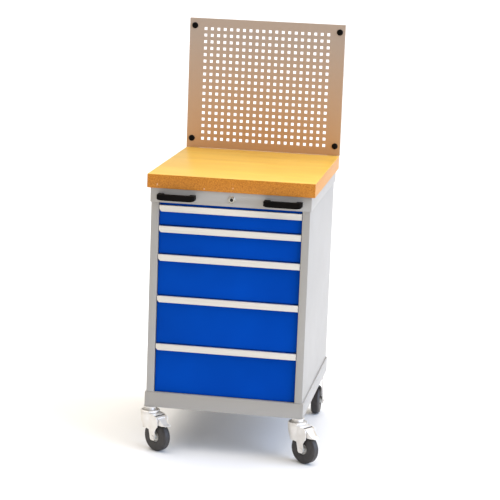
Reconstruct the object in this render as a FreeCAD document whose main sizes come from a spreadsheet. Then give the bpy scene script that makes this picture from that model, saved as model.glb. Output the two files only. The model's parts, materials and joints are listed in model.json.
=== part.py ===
import FreeCAD, Part
import Sketcher
import os
import re

# A rolling tool cabinet: five drawers behind one lock, a wooden worktop with a perforated panel
# at its back, two swivel casters with brakes in front and two fixed casters behind.
# Millimetres. X runs right, Y back, Z up. The origin is on the floor, under the worktop's centre.

document = FreeCAD.newDocument("RollingToolCabinet")
sheet = document.addObject("Spreadsheet::Sheet", "Sizes")

SIZES = [
    ("worktop_width", 600, "worktop from left to right"),
    ("worktop_depth", 700, "worktop from front to back"),
    ("worktop_thickness", 50, "thickness of the wooden board"),
    ("worktop_edge", 1.5, "bevel round the board's top"),
    ("body_inset", 16, "body's side inside the board's side"),
    ("body_sheet", 1.5, "sheet of the side panels"),
    ("body_setback", 8, "from the board's front edge back to the posts"),
    ("post_width", 27.2, "front post beside the drawers"),
    ("post_return", 18, "depth of the post's inner fold"),
    ("rear_flange", 20, "side panel's fold behind the back panel"),
    ("back_sheet", 1, "sheet of the back panel"),
    ("cap_height", 51, "top cap from its lower edge to the board"),
    ("cap_sheet", 2, "sheet of the top cap"),
    ("cap_step", 3.5, "cap wider than the body on each side"),
    ("cap_lip", 7, "fold along the fascia's lower edge"),
    ("fascia_rise", 7.8, "fascia's lower edge above the top drawer's share"),
    ("plinth_height", 55, "base plinth"),
    ("plinth_sheet", 2, "sheet of the plinth's walls and top"),
    ("plinth_floor", 3, "plate under the plinth that the casters bolt to"),
    ("plinth_step", 5, "plinth wider than the body on each side"),
    ("plinth_front_step", 2.5, "plinth in front of the posts"),
    ("plinth_rim", 95, "width of the plate left round the plinth's open middle"),
    ("share_one", 75, "height that the top drawer takes"),
    ("share_two", 103.5, "height that the second drawer takes"),
    ("share_three", 151.5, "height that the third drawer takes"),
    ("share_four", 176.5, "height that the fourth drawer takes"),
    ("share_five", 182.7, "height that the bottom drawer takes"),
    ("front_recess", 10, "drawer front behind the posts' face"),
    ("front_depth", 14, "drawer front, folded round its edges"),
    ("front_sheet", 1.2, "sheet of the drawer fronts"),
    ("front_gap", 2, "gap between a drawer front and the posts"),
    ("front_parting", 3, "gap between one drawer front and the next"),
    ("front_rim", 34, "front's two ends folded in behind it, onto the drawer box"),
    ("front_rim_low", 12, "front's lower edge folded in behind it"),
    ("front_rim_high", 20, "front's upper edge folded in behind it"),
    ("grip_drop", 2.5, "from a drawer's upper line down to its grip strip"),
    ("grip_height", 22.5, "height of the grip strip"),
    ("grip_wall", 1.8, "wall of the grip strip"),
    ("grip_bead", 2.6, "raised bead along the strip's two edges"),
    ("grip_relief", 0.6, "strip's face behind its beads"),
    ("grip_hook", 4, "lower edge turned in for the fingers"),
    ("grip_foot", 11, "strip's foot against the drawer front"),
    ("grip_corner", 8, "cut across the strip's lower left corner"),
    ("rail_clearance", 1, "cabinet rails outside the drawers' opening"),
    ("slide_width", 27, "slide from the cabinet rail's back to the drawer box"),
    ("box_sheet", 1.2, "sheet of the drawer boxes"),
    ("box_clearance", 24.5, "drawer box in front of the body's back"),
    ("box_lift", 5, "drawer box above its share's lower line"),
    ("box_headroom", 21, "drawer box lower than its share"),
    ("slide_height", 32, "height of a slide's rails"),
    ("slide_depth", 10, "depth of a slide's rail"),
    ("slide_sheet", 1.5, "sheet of a slide's rails"),
    ("slide_lip", 6, "lip that holds the runner in its rail"),
    ("slide_gap", 0.4, "running gap round the runner's heads"),
    ("slide_web", 5, "runner's web between its two heads"),
    ("slide_line", 32, "slide's middle above its share's lower line"),
    ("slide_start", 28, "slide's front end behind the drawer box's front"),
    ("support_width", 40, "channel that holds the cabinet rails, front to back"),
    ("support_sheet", 1.5, "sheet of those channels"),
    ("support_inset", 10, "front channel behind the slides' front ends"),
    ("support_back", 25, "rear channel in front of the slides' rear ends"),
    ("panel_height", 500, "perforated panel"),
    ("panel_sheet", 1.5, "sheet of the perforated panel"),
    ("panel_fold", 20, "panel's edges folded back"),
    ("hole_pitch", 25, "from one square hole to the next"),
    ("hole_side", 11, "side of a square hole"),
    ("hole_side_margin", 60, "outer holes at least this far inside the panel's sides"),
    ("hole_top_margin", 30, "top row of holes at least this far below the panel's upper edge"),
    ("hole_row_height", 36.5, "lowest row of holes above the panel's lower edge"),
    ("upright_width", 35, "upright behind the panel"),
    ("upright_depth", 19, "upright from front to back"),
    ("upright_sheet", 2, "sheet of the uprights"),
    ("upright_inset", 13, "upright's outer side inside the worktop's side"),
    ("upright_drop", 46, "upright's foot below the worktop"),
    ("panel_cap_diameter", 23.5, "round cap that fixes the panel"),
    ("panel_cap_height", 6, "cap in front of the panel"),
    ("panel_cap_inset", 20, "cap's middle inside the panel's side"),
    ("panel_cap_low", 36, "lower caps above the panel's lower edge"),
    ("panel_cap_high", 28, "upper caps below the panel's upper edge"),
    ("shank_side", 7, "square shank of a cap"),
    ("shank_gap", 0.2, "gap round the shank in its holes"),
    ("handle_length", 138, "push handle from end to end"),
    ("handle_reach", 38, "push handle in front of the fascia"),
    ("handle_height", 22, "height of the handle's ends"),
    ("handle_dip", 6.5, "handle's middle lower than its ends"),
    ("handle_leg", 17, "handle's leg, left to right"),
    ("handle_grip", 14, "handle's grip, front to back"),
    ("handle_end", 30, "handle's full height, from its end inwards"),
    ("handle_slope", 10, "run of the slope down to the handle's middle"),
    ("handle_corner", 12, "round of the handle's outer corners"),
    ("handle_inset", 97.5, "handle's middle inside the cap's side"),
    ("handle_drop", 24, "handle's middle below the board"),
    ("lock_offset", 4, "lock right of the middle"),
    ("lock_drop", 26, "lock's middle below the board"),
    ("rosette_diameter", 27, "round plate of the lock"),
    ("rosette_height", 3, "round plate in front of the fascia"),
    ("barrel_diameter", 19, "lock's barrel through the fascia"),
    ("barrel_length", 33, "lock's barrel behind the fascia's face"),
    ("barrel_gap", 0.2, "gap round the barrel in the fascia"),
    ("plug_diameter", 12, "plug that the key turns"),
    ("plug_gap", 0.05, "running gap round the plug"),
    ("keyhole_height", 8, "keyhole in the plug's face"),
    ("keyhole_width", 2, "width of the keyhole"),
    ("keyhole_depth", 20, "depth of the keyhole"),
    ("lock_turn", 90, "turn of the key, degrees"),
    ("cam_radius", 9, "from the lock's middle to the cam's pin"),
    ("lock_sheet", 2, "sheet of the cam, the rod and the strip"),
    ("lock_gap", 0.5, "gap between the lock's moving sheets"),
    ("lock_pin", 4, "diameter of the two pins that push"),
    ("lock_border", 4, "metal left round a slot or pin"),
    ("lock_rise", 8, "locking strip's pin above the lock's middle, unlocked"),
    ("strip_clearance", 1, "locking strip above the plinth, locked"),
    ("lock_play", 0.5, "play of a pin in its slot"),
    ("strip_width", 10, "width of the locking strip"),
    ("strip_play", 0.4, "gap round the locking strip"),
    ("tooth_reach", 30, "tooth of the locking strip"),
    ("tooth_height", 12, "height of a tooth"),
    ("catch_reach", 19.5, "catch on the side of a drawer box"),
    ("catch_height", 6.5, "height of a catch"),
    ("catch_rise", 2.5, "catch above the slide"),
    ("catch_flange", 12, "catch's flange along the drawer box"),
    ("catch_play", 3, "gap between a catch and the tooth above it, unlocked"),
    ("guide_sheet", 1.5, "loops that guide the locking strip"),
    ("guide_height", 8, "height of a guide loop"),
    ("guide_line", 12, "guide loop above its drawer's lower line, beyond the strip's travel"),
    ("caster_height", 160, "floor to the plinth's underside"),
    ("front_caster_side", 19, "front caster's axis inside the plinth's side"),
    ("front_caster_front", 17, "front caster's axis behind the plinth's front"),
    ("rear_caster_side", 28, "rear caster's middle inside the plinth's side"),
    ("rear_caster_back", 58, "rear axle in front of the plinth's back"),
    ("front_caster_turn", -34, "which way the front casters trail, degrees from X"),
    ("wheel_diameter", 110, "wheel over its tyre"),
    ("tyre_width", 32, "width of the tyre"),
    ("tyre_wall", 35, "height of the tyre's section"),
    ("hub_recess", 3, "hub's rim inside the tyre's side"),
    ("boss_diameter", 25, "boss round the axle"),
    ("axle_diameter", 12, "axle of every wheel"),
    ("axle_gap", 0.05, "running gap round an axle"),
    ("wheel_play", 0.3, "hub's gap to the fork on each side"),
    ("fork_width", 54, "fork over its two legs"),
    ("fork_sheet", 3, "sheet of the forks"),
    ("crown_sheet", 4, "top of the swivel fork"),
    ("crown_diameter", 70, "round plate on the swivel fork's top"),
    ("crown_rim", 8, "thickness of that plate's rim"),
    ("crown_front", 53, "swivel axis to the front of the fork's top"),
    ("leg_end", 13, "leg past the axle's middle"),
    ("trail", 40, "swivel axis to the axle"),
    ("fork_reach", 62, "swivel axis to the fork's open end"),
    ("skirt_drop", 9.4, "swivel fork's skirt below the top of the tyre"),
    ("skirt_rise", 19.5, "skirt's rise from the legs to the nose"),
    ("leg_spread", 17.5, "half the width of a leg where it leaves the skirt"),
    ("head_height", 13, "swivel head between the plinth and the fork"),
    ("head_diameter", 42, "swivel head at the fork"),
    ("head_flange", 50, "swivel head at the plinth"),
    ("head_rim", 3, "thickness of the swivel head's flange"),
    ("kingpin_diameter", 14, "pin that the fork turns on"),
    ("kingpin_gap", 0.05, "running gap round the kingpin"),
    ("kingpin_head", 26, "head of the kingpin under the fork's top"),
    ("swivel_gap", 0.4, "gap between the swivel head and the fork"),
    ("pedal_pivot_out", 54, "brake's pivot out from the swivel axis"),
    ("pivot_share", 0.43, "brake's pivot, as a share of the way from the tyre up to the fork's top"),
    ("pedal_reach", 40, "pedal past its pivot"),
    ("pedal_fall", 22, "pedal's tip below its pivot"),
    ("pedal_sheet", 4, "thickness of the pedal"),
    ("hub_share", 0.49, "height of the pedal's hub, as a share of that way"),
    ("pedal_pin", 5, "pin that the pedal turns on, through the fork's sides"),
    ("shoe_out", 10, "brake shoe past its pivot"),
    ("shoe_length", 8, "length of the brake shoe"),
    ("brake_gap", 4.3, "gap from the brake shoe's near edge to the tyre, released"),
    ("brake_gap_far", 6.7, "gap from its far edge"),
    ("fixed_plate_length", 110, "top plate of a fixed caster"),
    ("fixed_leg_width", 76, "fixed fork's leg at its top"),
]

DERIVED = [
    ("plinth_top", "caster_height + plinth_height"),
    ("line_five", "plinth_top"),
    ("line_four", "line_five + share_five"),
    ("line_three", "line_four + share_four"),
    ("line_two", "line_three + share_three"),
    ("line_one", "line_two + share_two"),
    ("opening_top", "line_one + share_one + fascia_rise"),
    ("cap_top", "opening_top + cap_height"),
    ("worktop_top", "cap_top + worktop_thickness"),
    ("panel_top", "worktop_top + panel_height"),
    ("hole_columns", "floor((worktop_width - 2 * hole_side_margin) / hole_pitch) + 1"),
    ("hole_rows", "floor((panel_height - hole_row_height - hole_top_margin) / hole_pitch) + 1"),
    ("worktop_back", "worktop_depth / 2"),
    ("post_face", "body_setback - worktop_depth / 2"),
    ("fascia_face", "post_face - cap_sheet"),
    ("plinth_face", "post_face - plinth_front_step"),
    ("rear_face", "worktop_back + panel_sheet"),
    ("body_back", "rear_face - cap_sheet"),
    ("body_side", "worktop_width / 2 - body_inset"),
    ("wall_inside", "body_side - body_sheet"),
    ("opening_side", "body_side - post_width"),
    ("plinth_side", "body_side + plinth_step"),
    ("front_side", "opening_side - front_gap"),
    ("front_face", "post_face + front_recess"),
    ("box_front", "front_face + front_depth"),
    ("rail_side", "opening_side + rail_clearance"),
    ("box_side", "rail_side - slide_width"),
    ("box_back", "body_back - box_clearance"),
    ("slide_front", "box_front + slide_start"),
    ("slide_back", "box_back"),
    ("slide_length", "slide_back - slide_front"),
    ("lock_middle", "cap_top - lock_drop"),
    ("barrel_end", "fascia_face + barrel_length"),
    ("rod_front", "barrel_end + lock_sheet + lock_gap"),
    ("strip_front", "rod_front + lock_sheet + lock_gap"),
    ("catch_front", "strip_front + lock_sheet + lock_gap"),
    ("strip_outside", "strip_play - wall_inside"),
    ("strip_inside", "strip_outside + strip_width"),
    ("tooth_end", "strip_inside + tooth_reach"),
    ("pin_swing", "cam_radius * sin(lock_turn / 2)"),
    ("pin_hang", "cam_radius * cos(lock_turn / 2)"),
    ("lock_travel", "pin_swing * 2"),
    ("slot_half", "lock_pin / 2 + lock_play"),
    ("slot_tip", "slot_half * sqrt(2)"),
    ("rod_end", "lock_gap - wall_inside + lock_travel"),
    ("strip_pin", "rod_end + lock_border + slot_half"),
    ("strip_pin_height", "lock_middle + lock_rise"),
    ("strip_foot", "plinth_top + lock_travel + strip_clearance"),
    ("wheel_radius", "wheel_diameter / 2"),
    ("fork_side", "fork_width / 2"),
    ("fork_inside", "fork_side - fork_sheet"),
    ("crown_top", "caster_height - head_height - swivel_gap"),
    ("brake_space", "crown_top - crown_sheet - wheel_diameter"),
    ("pedal_pivot_height", "wheel_diameter + brake_space * pivot_share"),
    ("pedal_hub", "brake_space * hub_share"),
]

DRAWERS = ["one", "two", "three", "four", "five"]


def fill_sheet():
    """Write each driving size as a plain number, and what follows from them as formulas."""
    rows = [(name, str(value), note) for name, value, note in SIZES]
    rows += [(name, "=" + text, "follows from the sizes above") for name, text in DERIVED]
    for row, (name, content, note) in enumerate(rows, start=1):
        sheet.set(f"A{row}", name)
        sheet.set(f"B{row}", content)
        sheet.setAlias(f"B{row}", name)
        sheet.set(f"C{row}", note)
    document.recompute()


ALIASES = {row[0] for row in SIZES + DERIVED}


def formula(text):
    """Point every name in a formula at its cell in the sheet."""
    def cell(match):
        word = match.group(0)
        return f"Sizes.{word}" if word in ALIASES else word
    return re.sub(r"[a-z_]+", cell, text)


def size(text):
    """The value of a formula, as a number."""
    return float(document.Sizes.evalExpression(formula(text)))


def bind(item, **properties):
    """Bind properties of an object to formulas."""
    for name, text in properties.items():
        item.setExpression(name, formula(text))


def place(item, x="0", y="0", z="0", turn=None):
    """Bind an object's place, and its turn about Z in degrees."""
    for axis, text in zip("xyz", (x, y, z)):
        item.setExpression(f"Placement.Base.{axis}", formula(text))
    if turn:
        item.Placement.Rotation = FreeCAD.Rotation(FreeCAD.Vector(0, 0, 1), size(turn))
        item.setExpression("Placement.Rotation.Angle", formula(turn))
    return item


def block(name, x, y, z):
    """A box between two formulas along each axis."""
    box = document.addObject("Part::Box", name)
    spans = [f"({high}) - ({low})" for low, high in (x, y, z)]
    bind(box, Length=spans[0], Width=spans[1], Height=spans[2])
    return place(box, x[0], y[0], z[0])


def fuse(name, *items):
    """Several touching solids made one."""
    joined = document.addObject("Part::MultiFuse", name)
    joined.Shapes = list(items)
    joined.Refine = True
    return joined


def cut(name, base, *tools):
    """A solid less one or more others."""
    result = document.addObject("Part::Cut", name)
    result.Base = base
    result.Tool = tools[0] if len(tools) == 1 else fuse(name + "_cutters", *tools)
    return result


def group(name, *items):
    """Separate like solids that share one node."""
    bundle = document.addObject("Part::Compound", name)
    bundle.Links = list(items)
    return bundle


def new_body(name):
    body = document.addObject("PartDesign::Body", name)
    body.Label = name
    return body


def polygon(sketch, points):
    """A closed outline through points given as pairs of formulas."""
    spots = [FreeCAD.Vector(size(x), size(y), 0) for x, y in points]
    first = sketch.GeometryCount
    count = len(spots)
    for index in range(count):
        sketch.addGeometry(Part.LineSegment(spots[index], spots[(index + 1) % count]), False)
    for index, (x, y) in enumerate(points):
        line = first + index
        following = first + (index + 1) % count
        sketch.addConstraint(Sketcher.Constraint("Coincident", line, 2, following, 1))
        for kind, text, value in (("DistanceX", x, spots[index].x), ("DistanceY", y, spots[index].y)):
            number = sketch.addConstraint(Sketcher.Constraint(kind, -1, 1, line, 1, value))
            sketch.setExpression(f"Constraints[{number}]", formula(text))


def circle(sketch, x, y, radius):
    """A circle whose centre and radius are formulas."""
    centre = FreeCAD.Vector(size(x), size(y), 0)
    ring = Part.Circle(centre, FreeCAD.Vector(0, 0, 1), size(radius))
    index = sketch.addGeometry(ring, False)
    parts = (
        (Sketcher.Constraint("DistanceX", -1, 1, index, 3, centre.x), x),
        (Sketcher.Constraint("DistanceY", -1, 1, index, 3, centre.y), y),
        (Sketcher.Constraint("Radius", index, size(radius)), radius),
    )
    for constraint, text in parts:
        number = sketch.addConstraint(constraint)
        sketch.setExpression(f"Constraints[{number}]", formula(text))


def sketch_on(body, plane, name, height="0"):
    """A sketch on one of the body's own planes, moved along the plane's normal."""
    sketch = body.newObject("Sketcher::SketchObject", name)
    support = next(item for item in body.Origin.OriginFeatures if item.Role == plane)
    sketch.AttachmentSupport = (support, [""])
    sketch.MapMode = "FlatFace"
    sketch.setExpression("AttachmentOffset.Base.z", formula(height))
    return sketch


def pad(body, sketch, name, length):
    """Material from the sketch along its normal."""
    feature = body.newObject("PartDesign::Pad", name)
    feature.Profile = sketch
    bind(feature, Length=length)
    return feature


def pocket(body, sketch, name, length=None):
    """A cut against the sketch's normal, or right through the body both ways without a length."""
    document.recompute()
    before = body.Shape.Volume
    feature = body.newObject("PartDesign::Pocket", name)
    feature.Profile = sketch
    if length:
        bind(feature, Length=length)
    else:
        feature.Type = "ThroughAll"
        feature.SideType = "Symmetric"
    document.recompute()
    if body.Shape.Volume > before - 0.001:
        raise ValueError(f"{name} cuts nothing")
    return feature


def revolve(body, sketch, name):
    """A full turn about the sketch's own vertical axis."""
    feature = body.newObject("PartDesign::Revolution", name)
    feature.Profile = sketch
    feature.ReferenceAxis = (sketch, ["V_Axis"])
    feature.Angle = 360
    return feature


def dress(body, kind, base, name, size_name, chosen):
    """A fillet or chamfer on the edges of the base feature that pass a test."""
    document.recompute()
    edges = [f"Edge{n}" for n, edge in enumerate(base.Shape.Edges, start=1) if chosen(edge)]
    if not edges:
        raise ValueError(f"{name} finds no edge")
    feature = body.newObject(f"PartDesign::{kind}", name)
    feature.Base = (base, edges)
    bind(feature, **{"Radius" if kind == "Fillet" else "Size": size_name})
    return feature


def rectangle(x, y):
    """Corners of a rectangle between two formulas along each axis."""
    return [(x[0], y[0]), (x[1], y[0]), (x[1], y[1]), (x[0], y[1])]


def extruded(name, plane, points, start, length):
    """A body with one outline padded along the plane's normal."""
    body = new_body(name)
    sketch = sketch_on(body, plane, name + "_outline", start)
    polygon(sketch, points)
    pad(body, sketch, name + "_pad", length)
    return body


def level(edge, height):
    """Whether an edge lies flat at a height."""
    box = edge.BoundBox
    return abs(box.ZMin - height) < 0.001 and abs(box.ZMax - height) < 0.001


# Body: worktop, cap, side panels, back and plinth

def make_worktop():
    """The wooden board, with a small bevel round its top."""
    half = "worktop_width / 2"
    body = new_body("worktop")
    sketch = sketch_on(body, "XY_Plane", "worktop_outline", "cap_top")
    polygon(sketch, rectangle((f"-{half}", half), ("-worktop_back", "worktop_back")))
    board = pad(body, sketch, "worktop_board", "worktop_thickness")
    top = size("worktop_top")
    dress(body, "Chamfer", board, "worktop_bevel", "worktop_edge", lambda edge: level(edge, top))
    return body


def make_top_cap():
    """Upside-down tray over the body; its front is the fascia, with the lock's hole and a lip."""
    side = "body_side + cap_step"
    inner = f"{side} - cap_sheet"
    tray = block("cap_tray", (f"-({side})", side), ("fascia_face", "rear_face"), ("opening_top", "cap_top"))
    inside = block(
        "cap_inside",
        (f"-({inner})", inner),
        ("post_face", "body_back"),
        ("opening_top", "cap_top - cap_sheet"),
    )
    hole = document.addObject("Part::Cylinder", "cap_lock_hole")
    hole.Placement.Rotation = FreeCAD.Rotation(FreeCAD.Vector(1, 0, 0), -90)
    bind(hole, Radius="barrel_diameter / 2 + barrel_gap", Height="cap_sheet")
    place(hole, "lock_offset", "fascia_face", "lock_middle")
    lip = block(
        "cap_front_lip",
        ("-opening_side", "opening_side"),
        ("post_face", "post_face + cap_lip"),
        ("opening_top", "opening_top + cap_sheet"),
    )
    return fuse("top_cap", cut("cap_shell", tray, inside, hole), lip)


def make_side_panel(side):
    """One sheet: side wall, front post with its inner fold, and the flange behind the back."""
    word = "left" if side < 0 else "right"
    corners = [
        ("body_side", "body_back"),
        ("body_side", "post_face"),
        ("opening_side", "post_face"),
        ("opening_side", "post_face + post_return"),
        ("opening_side + body_sheet", "post_face + post_return"),
        ("opening_side + body_sheet", "post_face + body_sheet"),
        ("wall_inside", "post_face + body_sheet"),
        ("wall_inside", "body_back - body_sheet"),
        ("body_side - rear_flange", "body_back - body_sheet"),
        ("body_side - rear_flange", "body_back"),
    ]
    points = [(f"{side} * ({x})", y) for x, y in corners]
    height = "cap_top - cap_sheet - plinth_top"
    name = f"side_panel_{word}" if side > 0 else "side_panel_left_sheet"
    panel = extruded(name, "XY_Plane", points, "plinth_top", height)
    if side > 0:
        return panel
    loops = [make_guide(drawer, f"line_{drawer} + lock_travel + guide_line") for drawer in ("one", "five")]
    return fuse("side_panel_left", panel, *loops)


def make_guide(word, height):
    """A loop on the left side panel's inner face that the locking strip slides in."""
    front = "strip_front - strip_play"
    back = "strip_front + lock_sheet + strip_play"
    inside = "strip_inside + strip_play"
    span = (height, f"{height} + guide_height")
    outer = block(
        f"guide_{word}_outer",
        ("-wall_inside", f"{inside} + guide_sheet"),
        (f"{front} - guide_sheet", f"{back} + guide_sheet"),
        span,
    )
    hollow = block(f"guide_{word}_hollow", ("-wall_inside", inside), (front, back), span)
    return cut(f"guide_{word}", outer, hollow)


def make_back_panel():
    return block(
        "back_panel",
        ("-wall_inside", "wall_inside"),
        ("body_back - body_sheet - back_sheet", "body_back - body_sheet"),
        ("plinth_top", "cap_top - cap_sheet"),
    )


def make_plinth():
    """Closed box with a floor plate under it, open in the middle."""
    walls = ("plinth_sheet - plinth_side", "plinth_side - plinth_sheet")
    box = block(
        "plinth_box",
        ("-plinth_side", "plinth_side"),
        ("plinth_face", "rear_face"),
        ("caster_height", "plinth_top"),
    )
    hollow = block(
        "plinth_hollow",
        walls,
        ("plinth_face + plinth_sheet", "rear_face - plinth_sheet"),
        ("caster_height + plinth_floor", "plinth_top - plinth_sheet"),
    )
    opening = block(
        "plinth_opening",
        ("plinth_rim - plinth_side", "plinth_side - plinth_rim"),
        ("plinth_face + plinth_rim", "rear_face - plinth_rim"),
        ("caster_height", "caster_height + plinth_floor"),
    )
    return cut("plinth", box, hollow, opening)


# Slides and drawers

def rail_section(side, middle, wall, towards):
    """Lipped channel whose web stands on a wall and whose mouth faces the runner."""
    half = "slide_height / 2"
    steps = [
        ("0", half),
        ("slide_depth", half),
        ("slide_depth", f"{half} - slide_lip"),
        ("slide_depth - slide_sheet", f"{half} - slide_lip"),
        ("slide_depth - slide_sheet", f"{half} - slide_sheet"),
        ("slide_sheet", f"{half} - slide_sheet"),
    ]
    upper = [(f"{side} * ({wall} {towards} ({out}))", f"{middle} + ({up})") for out, up in steps]
    lower = [(f"{side} * ({wall} {towards} ({out}))", f"{middle} - ({up})") for out, up in steps]
    return upper + lower[::-1]


def make_cabinet_rails():
    """The ten rails that the drawers' runners slide in."""
    rails = []
    for drawer in DRAWERS:
        for side in (-1, 1):
            points = rail_section(side, f"line_{drawer} + slide_line", "rail_side", "-")
            name = f"cabinet_rail_{drawer}_{'left' if side < 0 else 'right'}"
            rails.append(extruded(name, "XZ_Plane", points, "-slide_back", "slide_length"))
    return group("cabinet_rails", *rails)


def make_slide_supports():
    """Four upright channels on the side panels that the cabinet rails are fixed to."""
    supports = []
    spots = {"front": "slide_front + support_inset", "rear": "slide_back - support_back - support_width"}
    for side in (-1, 1):
        for word, start in spots.items():
            end = f"{start} + support_width"
            steps = [
                ("rail_side", start),
                ("wall_inside", start),
                ("wall_inside", f"{start} + support_sheet"),
                ("rail_side + support_sheet", f"{start} + support_sheet"),
                ("rail_side + support_sheet", f"{end} - support_sheet"),
                ("wall_inside", f"{end} - support_sheet"),
                ("wall_inside", end),
                ("rail_side", end),
            ]
            points = [(f"{side} * ({x})", y) for x, y in steps]
            name = f"slide_support_{'left' if side < 0 else 'right'}_{word}"
            height = "cap_top - cap_sheet - plinth_top"
            supports.append(extruded(name, "XY_Plane", points, "plinth_top", height))
    return group("slide_supports", *supports)


def make_catch(number, drawer):
    """Angle on the box's left side that the locking strip's tooth comes down in front of."""
    outer = "box_side + catch_reach"
    steps = [
        ("box_side", "catch_front"),
        (outer, "catch_front"),
        (outer, "catch_front + lock_sheet"),
        ("box_side + lock_sheet", "catch_front + lock_sheet"),
        ("box_side + lock_sheet", "catch_front + catch_flange"),
        ("box_side", "catch_front + catch_flange"),
    ]
    points = [(f"-({x})", y) for x, y in steps]
    return extruded(f"drawer_{number}_catch", "XY_Plane", points, catch_foot(drawer), "catch_height")


def make_drawer_fittings(number, drawer):
    """What is fixed to a drawer box's sides: a rail on each, and the lock's catch on the left."""
    fittings = [make_catch(number, drawer)]
    for side in (-1, 1):
        points = rail_section(side, f"line_{drawer} + slide_line", "box_side", "+")
        name = f"drawer_{number}_rail_{'left' if side < 0 else 'right'}"
        fittings.append(extruded(name, "XZ_Plane", points, "-slide_back", "slide_length"))
    return group(f"drawer_{number}_fittings", *fittings)


def make_runners(number, drawer):
    """Two runners, each a web with a head in the cabinet's rail and one in the drawer's."""
    head = "slide_height / 2 - slide_sheet - slide_gap"
    web = "slide_web / 2"
    outer = "rail_side - slide_sheet - slide_gap"
    outer_neck = "rail_side - slide_depth + slide_sheet + slide_gap"
    inner = "box_side + slide_sheet + slide_gap"
    inner_neck = "box_side + slide_depth - slide_sheet - slide_gap"
    steps = [(outer, head), (outer_neck, head), (outer_neck, web)]
    steps += [(inner_neck, web), (inner_neck, head), (inner, head)]
    middle = f"line_{drawer} + slide_line"
    runners = []
    for side in (-1, 1):
        upper = [(f"{side} * ({x})", f"{middle} + ({z})") for x, z in steps]
        lower = [(f"{side} * ({x})", f"{middle} - ({z})") for x, z in steps]
        name = f"drawer_{number}_runner_{'left' if side < 0 else 'right'}"
        runners.append(extruded(name, "XZ_Plane", upper + lower[::-1], "-slide_back", "slide_length"))
    return group(f"drawer_{number}_runners", *runners)


def catch_foot(drawer):
    """Lower edge of a drawer's catch, above its slides."""
    return f"line_{drawer} + slide_line + slide_height / 2 + catch_rise"


def make_drawer_box(number, drawer):
    """Open tray of folded sheet."""
    low = f"line_{drawer} + box_lift"
    top = f"{low} + share_{drawer} - box_headroom"
    inner = "box_side - box_sheet"
    back = "box_back"
    outside = block(f"box_{number}_outside", ("-box_side", "box_side"), ("box_front", back), (low, top))
    inside = block(
        f"box_{number}_inside",
        (f"-({inner})", inner),
        ("box_front + box_sheet", f"{back} - box_sheet"),
        (f"{low} + box_sheet", top),
    )
    return cut(f"drawer_{number}_box", outside, inside)


def make_drawer_front(number, drawer):
    """Front folded round its edges and in behind, onto the box; the top one ends under the fascia."""
    low = f"line_{drawer} + front_parting / 2"
    top = f"line_{drawer} + share_{drawer} - front_parting / 2"
    if drawer == "one":
        top = "opening_top - front_gap / 2"
    inner = "front_side - front_sheet"
    outside = block(
        f"front_{number}_outside",
        ("-front_side", "front_side"),
        ("front_face", "box_front"),
        (low, top),
    )
    inside = block(
        f"front_{number}_inside",
        (f"-({inner})", inner),
        ("front_face + front_sheet", "box_front - front_sheet"),
        (f"{low} + front_sheet", f"{top} - front_sheet"),
    )
    window = block(
        f"front_{number}_window",
        ("front_rim - front_side", "front_side - front_rim"),
        ("box_front - front_sheet", "box_front"),
        (f"{low} + front_rim_low", f"{top} - front_rim_high"),
    )
    return cut(f"drawer_{number}_front", outside, inside, window)


def make_grip(number, drawer):
    """Extruded strip flush with the posts: a foot on the front, a beaded face and a finger hook."""
    top = f"line_{drawer} + share_{drawer} - grip_drop"
    bevel = "grip_relief"
    steps = [
        ("front_face", "0"),
        (f"post_face + {bevel}", "0"),
        ("post_face", bevel),
        ("post_face", "grip_bead"),
        ("post_face + grip_relief", "grip_bead + grip_relief"),
        ("post_face + grip_relief", "grip_height - grip_bead - grip_relief"),
        ("post_face", "grip_height - grip_bead"),
        ("post_face", f"grip_height - {bevel}"),
        (f"post_face + {bevel}", "grip_height"),
        ("post_face + grip_hook", "grip_height"),
        ("post_face + grip_hook", "grip_height - grip_wall"),
        ("post_face + grip_relief + grip_wall", "grip_height - grip_wall"),
        ("post_face + grip_relief + grip_wall", "grip_wall"),
        ("front_face - grip_wall", "grip_wall"),
        ("front_face - grip_wall", "grip_foot"),
        ("front_face", "grip_foot"),
    ]
    points = [(y, f"{top} - ({down})") for y, down in steps]
    name = f"drawer_{number}_grip"
    body = extruded(name, "YZ_Plane", points, "-front_side", "2 * front_side")
    sketch = sketch_on(body, "XZ_Plane", name + "_corner")
    low = f"{top} - grip_height"
    corner = [("-front_side", low), ("grip_corner - front_side", low), ("-front_side", f"{low} + grip_corner")]
    polygon(sketch, corner)
    pocket(body, sketch, name + "_cut")
    return body


# Perforated panel

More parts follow.
